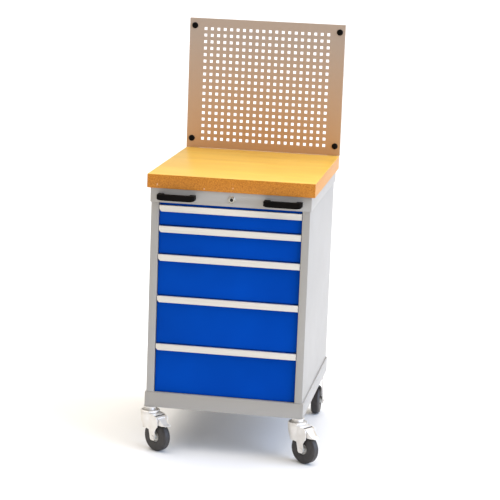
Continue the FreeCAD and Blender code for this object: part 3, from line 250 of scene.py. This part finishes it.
def zinc_sheet():
    """Zinc-plated sheet: a cool metal with faint crystals and slightly uneven gloss."""
    material, tree, shader, place = new_material("zinc_plated_sheet", "A9ADB2", 0.42, 1.0)
    crystals = add(tree, "ShaderNodeTexVoronoi", {"Vector": stretched(tree, place, 9, 9, 9), "Scale": 1.0})
    soften_gloss(tree, shader, crystals.outputs["Distance"], 0.36, 0.5)
    bump(tree, shader, cloud(tree, place, 3), 0.02)
    return material


def bright_zinc():
    """Bright zinc on the pressed casters: pale and warm, nearly smooth, with a soft broad gloss."""
    material, tree, shader, place = new_material("bright_zinc_plate", "E9E4DC", 0.38, 0.55)
    paint(tree, shader, cloud(tree, place, 25), 0.3, 0.7, "E2DCD3", "EFEBE4")
    soften_gloss(tree, shader, cloud(tree, place, 12), 0.34, 0.42)
    return material


def strip_finish():
    """Extruded strip, matt off-white lacquer over fine drawing lines that run along it."""
    material, tree, shader, place = new_material("lacquered_strip", "DAD2C4", 0.36, specular_ior_level=0.35)
    lines = noise(tree, stretched(tree, place, 220, 0.8, 0.8), 2.0)
    paint(tree, shader, lines, 0.3, 0.7, "D2CABC", "E2DBCE")
    bump(tree, shader, lines, 0.03)
    return material


def moulded_black():
    """Glass-filled nylon from a spark-eroded mould: near black, with a fine even texture."""
    material, tree, shader, place = new_material("moulded_black_nylon", "0E0B09", 0.6, specular_ior_level=0.05)
    paint(tree, shader, cloud(tree, place, 40), 0.3, 0.7, "080706", "120E0B")
    bump(tree, shader, cloud(tree, place, 0.9, 2.0), 0.05)
    return material


def moulded_grey():
    """Pale polypropylene hub: waxy, slightly glossy, with soft flow marks."""
    material, tree, shader, place = new_material("moulded_pale_polypropylene", "C4C2BC", 0.4)
    paint(tree, shader, cloud(tree, place, 30), 0.3, 0.7, "BAB8B2", "CCCAC4")
    bump(tree, shader, cloud(tree, place, 1.2), 0.03)
    return material


def tyre_rubber():
    """Moulded rubber tyre: dark grey with a soft shine, and dusty in patches."""
    material, tree, shader, place = new_material("moulded_rubber", "322F2D", 0.48, specular_ior_level=0.5)
    dust = noise(tree, stretched(tree, place, 18, 18, 18), 4.0, 0.6)
    paint(tree, shader, dust, 0.3, 0.75, "282422", "3E3936")
    bump(tree, shader, cloud(tree, place, 0.8, 2.0), 0.08)
    return material


def polished_chrome():
    """Chrome on the lock: a mirror with faint turning marks."""
    material, tree, shader, place = new_material("polished_chrome", "B4B0A6", 0.16, 1.0)
    marks = noise(tree, stretched(tree, place, 0.8, 20, 0.8), 1.0)
    soften_gloss(tree, shader, marks, 0.1, 0.2)
    bump(tree, shader, marks, 0.01)
    return material


FINISHES = {
    "board": beech_face(),
    "body_paint": powder_coat("light_grey_powder_coat", "A5A098", "A9A49C"),
    "front_paint": powder_coat("blue_powder_coat", "003F9E", "0046AC", 0.42, 0.02),
    "grip_strip": strip_finish(),
    "box_paint": powder_coat("grey_powder_coat", "9FA1A2", "A9ABAC", 0.45),
    "zinc_sheet": zinc_sheet(),
    "panel_paint": panel_coat_with_painted_bounce(),
    "black_plastic": moulded_black(),
    "lock_chrome": polished_chrome(),
    "caster_zinc": bright_zinc(),
    "tyre_rubber": tyre_rubber(),
    "hub_plastic": moulded_grey(),
}
BEECH_EDGE = beech_edge("varnished_beech_edge", "A0580E", "D89030", 0.7)
BEECH_END = beech_edge("varnished_beech_end", "BC7A34", "D49C58", 0.21)
PLUG_STEEL_PAINTED_SHADE = plug_steel_painted_shade()


# Meshes, whose sizes are in millimetres


def put(name, data):
    """A new object in the scene."""
    item = bpy.data.objects.new(name, data)
    bpy.context.scene.collection.objects.link(item)
    return item


def plain_mesh(blank):
    """The evaluated mesh of an object with modifiers; the object goes."""
    graph = bpy.context.evaluated_depsgraph_get()
    mesh = bpy.data.meshes.new_from_object(blank.evaluated_get(graph))
    bpy.data.objects.remove(blank)
    return mesh


def smooth_mesh(work, name):
    """The mesh of a finished bmesh, shaded smooth."""
    mesh = bpy.data.meshes.new(name)
    work.to_mesh(mesh)
    work.free()
    for polygon in mesh.polygons:
        polygon.use_smooth = True
    return mesh


def finish_piece(name, mesh, node, angle=SHARP, flat=False):
    """A new object that stands for a CAD node, on its body: sharp from an angle, and flat faces kept flat."""
    mesh.set_sharp_from_angle(angle=math.radians(angle))
    if flat:
        blank = put("blank", mesh)
        blank.modifiers.new("flat_faces", "WEIGHTED_NORMAL").keep_sharp = True
        mesh = plain_mesh(blank)
    piece = put(name, mesh)
    if not mesh.materials:
        mesh.materials.append(FINISHES[slot_of_node[node]])
    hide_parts(node)
    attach(piece, body_of_node[node])


def solid_copy(node):
    """A CAD node's mesh with its triangles joined back into whole faces."""
    work = bmesh.new()
    work.from_mesh(nodes[node].data)
    bmesh.ops.remove_doubles(work, verts=work.verts, dist=0.004 * MM)
    limit = math.radians(0.5)
    bmesh.ops.dissolve_limit(work, angle_limit=limit, verts=work.verts, edges=work.edges)
    return work


def ease_edges(node, width):
    """A CAD node with its sharp edges rounded, as sheet metal and mouldings have them."""
    name = node + "_eased"
    blank = put("blank", smooth_mesh(solid_copy(node), name))
    rounding = blank.modifiers.new("rounding", "BEVEL")
    rounding.width = width * MM
    rounding.segments = 2
    rounding.limit_method = "ANGLE"
    rounding.angle_limit = math.radians(40)
    rounding.harden_normals = True
    finish_piece(name, plain_mesh(blank), node)


def rounded(corners, steps=4):
    """An outline whose corners, given as x, y and radius, are rounded."""
    outline = []
    for index, (x, y, radius) in enumerate(corners):
        here = Vector((x, y))
        if not radius:
            outline.append((x, y))
            continue
        before = (Vector(corners[index - 1][:2]) - here).normalized()
        after = (Vector(corners[(index + 1) % len(corners)][:2]) - here).normalized()
        half = before.angle(after) / 2
        middle = here + (before + after).normalized() * radius / math.sin(half)
        start = here + before * radius / math.tan(half) - middle
        stop = here + after * radius / math.tan(half) - middle
        sweep = start.angle(stop)
        for step in range(steps + 1):
            share = step / steps
            spot = start * math.sin((1 - share) * sweep) + stop * math.sin(share * sweep)
            outline.append(tuple(middle + spot / math.sin(sweep)))
    return outline


def mirrored(corners):
    """Corners on one side of a wheel's middle plane, and the same on the other side."""
    return corners + [(radius, -along, ease) for radius, along, ease in corners[::-1]]


def join(work, piece, place):
    """Add a piece to the work, at its place."""
    bmesh.ops.transform(piece, matrix=place, verts=piece.verts)
    whole = bpy.data.meshes.new("whole")
    piece.to_mesh(whole)
    piece.free()
    work.from_mesh(whole)
    bpy.data.meshes.remove(whole)


def turned(work, outline, place, steps=64):
    """Add a solid turned about the place's Y axis, from an outline of radius and distance along the axis."""
    piece = bmesh.new()
    rings = []
    for step in range(steps):
        turn = 2 * math.pi * step / steps
        across, up = math.cos(turn) * MM, math.sin(turn) * MM
        rings.append([piece.verts.new((radius * across, along * MM, radius * up)) for radius, along in outline])
    for ring, following in zip(rings, rings[1:] + rings[:1]):
        for index in range(len(outline)):
            piece.faces.new((ring[index - 1], ring[index], following[index], following[index - 1]))
    bmesh.ops.remove_doubles(piece, verts=piece.verts, dist=0.001 * MM)
    bmesh.ops.recalc_face_normals(piece, faces=piece.faces)
    join(work, piece, place)


def prism(work, outline, low, high, place, ease, cuts=(), reshape=None):
    """Add a flat piece with an outline in X and Z, between two places along Y, which reshape may move."""
    piece = bmesh.new()
    near = [piece.verts.new((x, low, z)) for x, z in outline]
    far = [piece.verts.new((x, high, z)) for x, z in outline]
    piece.faces.new(near)
    piece.faces.new(far)
    for index in range(len(outline)):
        piece.faces.new((near[index - 1], near[index], far[index], far[index - 1]))
    for cut in cuts:
        geometry = piece.verts[:] + piece.edges[:] + piece.faces[:]
        bmesh.ops.bisect_plane(piece, geom=geometry, plane_co=(cut, 0, 0), plane_no=(1, 0, 0), dist=0.001)
    if reshape:
        for vertex in piece.verts:
            vertex.co.y = reshape(vertex.co.x, vertex.co.y)
    bmesh.ops.recalc_face_normals(piece, faces=piece.faces)
    sharp = [edge for edge in piece.edges if edge.calc_face_angle(0) > math.radians(SHARP)]
    bmesh.ops.bevel(piece, geom=sharp, offset=ease, segments=3, profile=0.5, affect="EDGES")
    join(work, piece, place @ Matrix.Scale(MM, 4))


def add_block(work, low, high):
    """Add a block between two corners, in metres."""
    corners = bmesh.ops.create_cube(work, size=1.0)["verts"]
    shape = Matrix.Translation((low + high) / 2) @ Matrix.Diagonal((*(high - low), 1))
    bmesh.ops.transform(work, matrix=shape, verts=corners)


# Places


def facing(middle, along, beside=UP):
    """A place whose Y axis runs along a direction, with its Z axis nearest to another."""
    along = along.normalized()
    across = along.cross(beside).normalized()
    columns = Matrix((across, along, across.cross(along))).transposed().to_4x4()
    return Matrix.Translation(middle) @ columns


def middle_of(node):
    """The middle of a CAD node's box."""
    low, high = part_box(node)
    return (low + high) / 2


def wheel_place(wheel):
    """A wheel's middle, with Y along its axle."""
    return facing(middle_of(wheel + "_tyre"), Vector(joints[wheel + "_roll"]["axis"]))


def caster_place(side):
    """A front caster's swivel axis at the floor, with X along its trail."""
    spot = Vector(joints[f"front_{side}_swivel"]["pos_m"])
    wheel = middle_of(f"front_{side}_tyre")
    trail = Vector((wheel.x - spot.x, wheel.y - spot.y, 0)).normalized()
    return facing((spot.x, spot.y, 0), UP.cross(trail))


# Fastener heads, made with Geometry Nodes


def fastener_tree():
    """A round or six-sided head on every spot, with its axis along the turn given."""
    tree = bpy.data.node_groups.new("fasteners", "GeometryNodeTree")
    inputs = {
        "Spots": "Geometry",
        "Sides": "Int",
        "Radius": "Float",
        "Height": "Float",
        "Turn": "Rotation",
        "Finish": "Material",
    }
    for label, kind in inputs.items():
        tree.interface.new_socket(label, in_out="INPUT", socket_type="NodeSocket" + kind)
    tree.interface.new_socket("Heads", in_out="OUTPUT", socket_type="NodeSocketGeometry")
    given = tree.nodes.new("NodeGroupInput").outputs
    sizes = {"Vertices": given["Sides"], "Radius": given["Radius"], "Depth": given["Height"]}
    head = add(tree, "GeometryNodeMeshCylinder", sizes).outputs["Mesh"]
    spots = {"Points": given["Spots"], "Instance": head, "Rotation": given["Turn"]}
    heads = add(tree, "GeometryNodeInstanceOnPoints", spots).outputs[0]
    real = add(tree, "GeometryNodeRealizeInstances", {"Geometry": heads}).outputs[0]
    dressed = add(tree, "GeometryNodeSetMaterial", {"Geometry": real, "Material": given["Finish"]})
    add(tree, "NodeGroupOutput", {"Heads": dressed.outputs[0]})
    return tree


FASTENERS = fastener_tree()


def add_heads(name, slot, body, spots, turn, sides, radius, height):
    """Heads on some spots, as one plain mesh that rides with a body."""
    base = bpy.data.meshes.new("spots")
    base.from_pydata([tuple(spot) for spot in spots], [], [])
    blank = put("blank", base)
    maker = blank.modifiers.new("maker", "NODES")
    maker.node_group = FASTENERS
    sockets = {item.name: item.identifier for item in FASTENERS.interface.items_tree if item.in_out == "INPUT"}
    maker[sockets["Sides"]] = sides
    maker[sockets["Radius"]] = radius * MM
    maker[sockets["Height"]] = height * MM
    maker[sockets["Turn"]] = turn
    maker[sockets["Finish"]] = FINISHES[slot]
    mesh = plain_mesh(blank)
    mesh.set_sharp_from_angle(angle=math.radians(30))
    piece = put(name, mesh)
    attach(piece, body)


def add_fasteners():
    """Axle nuts, rivets of the back panel and screws of the uprights."""
    nut = {"sides": 6, "radius": 8.5, "height": 3.6}
    beside_wheel = 28.5 * MM
    for side in SIDES:
        place = wheel_place("front_" + side)
        spots = [place @ Vector((0, along, 0)) for along in (-beside_wheel, beside_wheel)]
        turn = tuple((place.to_3x3() @ Matrix.Rotation(QUARTER, 3, "X")).to_euler())
        add_heads(f"front_axle_nuts_{side}", "caster_zinc", "front_fork_" + side, spots, turn, **nut)
    spots = []
    for side in SIDES:
        centre = wheel_place("rear_" + side).translation
        spots += [centre + Vector((along, 0, 0)) for along in (-beside_wheel, beside_wheel)]
    add_heads("rear_axle_nuts", "caster_zinc", "cabinet", spots, (0, QUARTER, 0), **nut)
    low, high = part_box("back_panel")
    rows, from_side, from_end = 6, 30 * MM, 40 * MM
    heights = [low.z + from_end + (high.z - low.z - 2 * from_end) * row / (rows - 1) for row in range(rows)]
    spots = [(x, high.y + 0.4 * MM, z) for x in (low.x + from_side, high.x - from_side) for z in heights]
    backward = (QUARTER, 0, 0)
    add_heads("back_panel_rivets", "zinc_sheet", "cabinet", spots, backward, sides=12, radius=3, height=1)
    low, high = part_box("panel_uprights")
    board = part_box("worktop")[0].z
    from_side, sunk, drops = 17.5 * MM, 3.5 * MM, (14 * MM, 34 * MM)
    spots = [(x, low.y + sunk, board - drop) for x in (low.x + from_side, high.x - from_side) for drop in drops]
    add_heads("upright_screws", "caster_zinc", "cabinet", spots, backward, sides=6, radius=6.5, height=3)


# Pieces


def make_board():
    """The worktop: a beech board with its edges broken, darker sawn edges and lighter ends."""
    low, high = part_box("worktop")
    work = bmesh.new()
    add_block(work, low, high)
    bmesh.ops.bevel(work, geom=work.edges[:], offset=2 * MM, segments=3, profile=0.5, affect="EDGES")
    mesh = smooth_mesh(work, "worktop_board")
    for finish in (FINISHES["board"], BEECH_EDGE, BEECH_END):
        mesh.materials.append(finish)
    face, edge, end = range(3)
    mostly = 0.7
    for polygon in mesh.polygons:
        normal = polygon.normal
        polygon.material_index = face if normal.z > mostly else end if abs(normal.x) > mostly else edge
    finish_piece("worktop_board", mesh, "worktop")


def ease_body():
    """Folded sheet metal, strips and rear forks with their edges eased."""
    for node in ("top_cap", "plinth", "side_panel_left", "side_panel_right"):
        ease_edges(node, 0.7)
    for drawer in DRAWERS:
        ease_edges(drawer + "_front", 0.5)
        ease_edges(drawer + "_grip", 0.3)
        ease_edges(drawer + "_box", 0.4)
    ease_edges("rear_forks", 0.7)
    ease_edges("panel_uprights", 0.6)


def add_bowl(work, profile, wide, place):
    """Add the drawn nose of a hood, from radii and heights: a bowl, which stays wide up to its cheeks."""
    piece = bmesh.new()
    sheet, steps = 3, 32
    widest = max(radius for radius, height in profile)
    ahead = [math.sqrt(widest**2 - wide**2) * share for share in (1, 0.85, 0.7, 0.5, 0.25)]
    rings = []
    for radius, height in profile:
        for inset in (0, sheet):
            beside = [max(wide, math.sqrt(max(radius**2 - x * x, 0))) - inset for x in ahead]
            line = [(x, -y) for x, y in zip(ahead, beside)]
            broad = max(radius, wide) - inset
            for step in range(steps + 1):
                turn = math.radians(-90 - 180 * step / steps)
                line.append(((radius - inset) * math.cos(turn), broad * math.sin(turn)))
            line += [(x, y) for x, y in zip(ahead[::-1], beside[::-1])]
            rings.append([piece.verts.new((x, y, height)) for x, y in line])
    outer, inner = rings[0::2], rings[1::2]
    loop = outer + inner[::-1]
    for ring, following in zip(loop, loop[1:] + loop[:1]):
        for index in range(len(ring) - 1):
            piece.faces.new((ring[index], ring[index + 1], following[index + 1], following[index]))
    for end in (0, -1):
        for number in range(len(outer) - 1):
            corners = (outer[number][end], outer[number + 1][end], inner[number + 1][end], inner[number][end])
            piece.faces.new(corners)
    bmesh.ops.recalc_face_normals(piece, faces=piece.faces)
    join(work, piece, place @ Matrix.Scale(MM, 4))


def make_front_fork(side):
    """The pressed hood: a bowl-shaped nose, two flat cheeks and the bridge on them, and the round plate on top."""
    node = "front_fork_" + side
    place = caster_place(side)
    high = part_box(node)[1].z / MM
    inside, outside, bowl = 24, 27, 27.3
    work = bmesh.new()
    profile = [
        (29, high),
        (32.2, high - 0.6),
        (34.2, high - 2),
        (35, high - 4.5),
        (35, high - 7.4),
        (33.9, high - 8.3),
        (33.7, high - 9.3),
        (34.8, high - 10.4),
        (34.6, 124),
        (33.4, 114),
        (31.2, 104),
        (28, 94),
        (24, 85),
        (22.5, 82),
    ]
    add_bowl(work, profile, bowl, place)
    plate = [(7.1, high - 4), (27, high - 4), (27, high - 8.2), (31, high - 8.2), (31, high), (7.1, high)]
    turned(work, plate, place @ Matrix.Rotation(QUARTER, 4, "X"), 48)
    bridge = [(12, 135.4), (45.8, 133.3), (46.2, 136), (12, 138.4)]
    prism(work, bridge, -24.2, 24.2, place, 0.8)
    cheek = [
        (9, 83),
        (21, 80),
        (25.5, 62),
        (28.5, 48),
        (33, 42.5),
        (47, 42.5),
        (51.5, 48),
        (53.5, 62),
        (52, 78),
        (57, 88),
        (64.5, 96),
        (65, 118),
        (60.5, 128),
        (56, 132.5),
        (46, 136),
        (27, 138.4),
        (9, 138.4),
    ]
    for start, stop in ((-outside, -inside), (inside, outside)):
        prism(work, cheek, start, stop, place, 0.9)
    pivot = Vector(joints[f"front_{side}_brake"]["pos_m"])
    rivet = [(0, 0), (4, 0), (3.6, 1), (2.4, 1.7), (0, 2)]
    for sign in (-1, 1):
        out = place.to_3x3() @ Vector((0, sign, 0))
        turned(work, rivet, facing(pivot + out * outside * MM, out), 24)
    finish_piece(node + "_drawn", smooth_mesh(work, node + "_drawn"), node, flat=True)


def make_pedal(side):
    """The pressed brake pedal: a sloping foot plate with a flat tip, two flanges, its hub and the shoe."""
    node = "brake_pedal_" + side
    place = caster_place(side)
    work = bmesh.new()

    def narrowing(x, y):
        """Y at a place along the pedal, which loses two fifths of its width from root to tip."""
        root, tip, loss = 50, 94, 0.4
        return y * (1 - loss * min(max((x - root) / (tip - root), 0), 1))

    plate = [
        (46.8, 124),
        (46.8, 129.4),
        (48.6, 131.2),
        (51, 131),
        (56.5, 128.6),
        (77, 107.6),
        (94, 103.2),
        (94, 100.8),
        (76, 105),
        (55.5, 126),
        (51, 128.4),
        (49, 124),
    ]
    prism(work, plate, -22, 22, place, 0.5, reshape=narrowing)
    flange = [
        (46.5, 112),
        (46.5, 129),
        (50, 132),
        (58, 132),
        (78, 111),
        (88, 105),
        (88, 101.5),
        (76, 100.5),
        (58, 102),
    ]
    for start, stop in ((-23.6, -21), (21, 23.6)):
        prism(work, flange, start, stop, place, 0.8, reshape=narrowing)
    pivot = Vector(joints[f"front_{side}_brake"]["pos_m"])
    along = place.to_3x3() @ Vector((0, 1, 0))
    hub = [(0, -23), (6.5, -23), (6.5, 23), (0, 23)]
    turned(work, hub, facing(pivot, along), 32)
    shoe = [(62, 117), (64, 108.6), (72, 108.2), (72, 110.6), (66, 116.8)]
    prism(work, shoe, -13, 13, place, 0.8)
    finish_piece(node + "_pressed", smooth_mesh(work, node + "_pressed"), node, flat=True)


def make_wheel(wheel):
    """Rubber tyre with flat sides and round shoulders, on a small moulded hub."""
    place = wheel_place(wheel)
    bore, rim, tread, half = 6.05, 20, 55, 16
    tyre = mirrored([(rim, -half + 1.5, 0), (rim + 2, -half, 1), (tread - 6, -half, 5), (tread, -half + 6, 2.5)])
    work = bmesh.new()
    turned(work, rounded(tyre), place, 96)
    finish_piece(wheel + "_tyre_moulded", smooth_mesh(work, wheel + "_tyre"), wheel + "_tyre", angle=50)
    face, web, boss = 13, 9, 23.7
    hub = [
        (bore, -boss, 0),
        (11.5, -boss, 1.2),
        (12.5, -web, 1),
        (16.8, -web, 1),
        (17.6, -face, 0.6),
        (rim, -face, 0.8),
    ]
    work = bmesh.new()
    turned(work, rounded(mirrored(hub), 3), place)
    finish_piece(wheel + "_hub_moulded", smooth_mesh(work, wheel + "_hub"), wheel + "_hub")


def make_heads():
    """Each swivel head: top plate, ball race with its groove, and the kingpin with its riveted head."""
    corners = [
        (0, 139.2, 0),
        (13, 139.2, 1.5),
        (13, 142.2, 0.5),
        (7, 142.2, 0),
        (7, 147, 0),
        (19, 147, 1.2),
        (21, 149.5, 1),
        (19.5, 152, 0.5),
        (21, 154, 1),
        (19.5, 157, 0),
        (25, 157, 0.8),
        (25, 160, 0),
        (0, 160, 0),
    ]
    work = bmesh.new()
    for side in SIDES:
        spot = Vector(joints[f"front_{side}_swivel"]["pos_m"])
        turned(work, rounded(corners, 3), facing((spot.x, spot.y, 0), UP, BACKWARD), 48)
    finish_piece("swivel_heads_turned", smooth_mesh(work, "swivel_heads"), "swivel_heads")


def make_panel_caps():
    """Four domed caps on square shanks."""
    work = bmesh.new()
    low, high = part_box("panel_caps")
    radius, thick, half = 11.75, 6, 3.5
    corners = [(0, 0, 0), (5, 0.2, 3), (10.2, 2, 4), (radius, 5, 0.8), (radius, thick, 0), (0, thick, 0)]
    for x in (low.x + radius * MM, high.x - radius * MM):
        for z in (low.z + radius * MM, high.z - radius * MM):
            turned(work, rounded(corners, 3), facing((x, low.y, z), BACKWARD), 32)
            shank_low = Vector((x - half * MM, low.y + thick * MM, z - half * MM))
            add_block(work, shank_low, Vector((x + half * MM, high.y, z + half * MM)))
    finish_piece("panel_caps_domed", smooth_mesh(work, "panel_caps"), "panel_caps")


def make_lock():
    """Chrome rosette with a groove round its raised middle, the barrel behind it, and the plug, painted dark as
    shade.
    """
    low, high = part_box("lock_housing")
    middle = (low + high) / 2
    length = (high.y - low.y) / MM
    bore, barrel, rosette = 6.05, 9.5, 13.5
    corners = [
        (bore, 2.2, 0),
        (bore, 0.4, 0),
        (7.2, 0, 0.4),
        (9.6, 0.3, 0.5),
        (10.6, 1.6, 0.3),
        (11.4, 1.6, 0.3),
        (12.2, 0.7, 0.4),
        (rosette, 2, 0.8),
        (rosette, 3, 0),
        (barrel, 3, 0),
        (barrel, length, 0),
        (bore, length, 0),
    ]
    work = bmesh.new()
    turned(work, rounded(corners), facing((middle.x, low.y, middle.z), BACKWARD))
    finish_piece("lock_housing_turned", smooth_mesh(work, "lock_housing"), "lock_housing")
    mesh = smooth_mesh(solid_copy("lock_plug"), "lock_plug")
    mesh.materials.clear()
    # the plug gets painted shade in place of its own finish
    mesh.materials.append(PLUG_STEEL_PAINTED_SHADE)
    finish_piece("lock_plug_painted_shade", mesh, "lock_plug", angle=30)


def make_handle(side):
    """A moulded bow handle: two short legs and a grip between them that hangs a little lower."""
    node = "push_handle_" + side
    low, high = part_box(node)
    trim, leg, grip, sag = 1.1, 22, 21, 3.5
    middle = (low.x + high.x) / 2 / MM - trim
    half = (high.x - low.x) / 2 / MM - trim
    reach = (high.y - low.y) / MM
    bottom, top = low.z / MM, high.z / MM - 4.6
    corners = [
        (-half, 0, 0),
        (-half, reach, 9),
        (half, reach, 9),
        (half, 0, 0),
        (half - leg, 0, 0),
        (half - leg, reach - grip, 6),
        (leg - half, reach - grip, 6),
        (leg - half, 0, 0),
    ]
    bend = 24
    steps = [half - share for share in (6, 12, 18, bend)]

    def bowed(x, y):
        """The grip's top, or its underside, which sags between the legs."""
        outward = min(max((abs(x) - half + bend) / bend, 0), 1)
        return top if y > 0 else bottom - sag * (1 - outward**2)

    work = bmesh.new()
    place = Matrix.Translation((middle * MM, high.y, 0)) @ Matrix.Rotation(QUARTER, 4, "X")
    prism(work, rounded(corners, 6), -1, 1, place, 1.8, [*steps, *(-step for step in steps)], bowed)
    finish_piece(node + "_moulded", smooth_mesh(work, node + "_moulded"), node, angle=40, flat=True)


# Stage, light and camera


def make_stage():
    """A pale floor that reaches 300 m each way."""
    reach = 300
    mesh = bpy.data.meshes.new("floor")
    corners = [(-reach, -reach, 0), (reach, -reach, 0), (reach, reach, 0), (-reach, reach, 0)]
    mesh.from_pydata(corners, [], [(0, 1, 2, 3)])
    mesh.materials.append(new_material("pale_floor", "F6F5F3", 0.7)[0])
    put("floor", mesh)


def sky_lamp(name, bearing, height, spread, strength, colour):
    """A distant lamp: its bearing from +X, its height above the horizon and its own width, in degrees."""
    data = bpy.data.lights.new(name, "SUN")
    data.energy = strength
    data.angle = math.radians(spread)
    data.color = linear(colour)[:3]
    around, above = math.radians(bearing), math.radians(height)
    across = math.cos(above)
    away = Vector((across * math.cos(around), across * math.sin(around), math.sin(above)))
    put(name, data).matrix_world = (-away).to_track_quat("-Z", "Y").to_matrix().to_4x4()


def make_light():
    """A white studio: a weak surround, a broad warm lamp overhead and a cool one from the right."""
    world = bpy.data.worlds.new("studio")
    world.use_nodes = True
    surround = world.node_tree.nodes["Background"]
    surround.inputs["Color"].default_value = linear("FFFFFF")
    surround.inputs["Strength"].default_value = 0.42
    bpy.context.scene.world = world
    sky_lamp("overhead", 105, 80, 85, 2.9, "FFF8EE")
    sky_lamp("right", -12, 20, 60, 3.6, "C8DCFF")
    bpy.context.scene.view_settings.view_transform = "Standard"


CAMERA_PLACE = Vector((1.0684, -6.602, 2.0448))
CAMERA_TURN, CAMERA_DIP, CAMERA_TILT = 9.01, 11.441, 2.177
CAMERA_LENS = 132.047


def make_camera():
    """A long lens a little to the right, held slightly tilted, as the photo's leaning uprights show."""
    data = bpy.data.cameras.new("camera")
    data.lens = CAMERA_LENS
    data.sensor_width = 36
    data.clip_end = 100
    camera = put("camera", data)
    turn = Matrix.Rotation(math.radians(CAMERA_TURN), 4, "Z")
    dip = Matrix.Rotation(math.radians(90 - CAMERA_DIP), 4, "X")
    tilt = Matrix.Rotation(math.radians(CAMERA_TILT), 4, "Z")
    camera.matrix_world = Matrix.Translation(CAMERA_PLACE) @ turn @ dip @ tilt
    bpy.context.scene.camera = camera


make_camera()
make_stage()
make_light()
for name, node in nodes.items():
    node.data.materials.clear()
    node.data.materials.append(FINISHES[slot_of_node[name]])
make_board()
ease_body()
for side in SIDES:
    make_front_fork(side)
    make_pedal(side)
for wheel in WHEELS:
    make_wheel(wheel)
make_heads()
make_panel_caps()
make_lock()
for side in SIDES:
    make_handle(side)
add_fasteners()
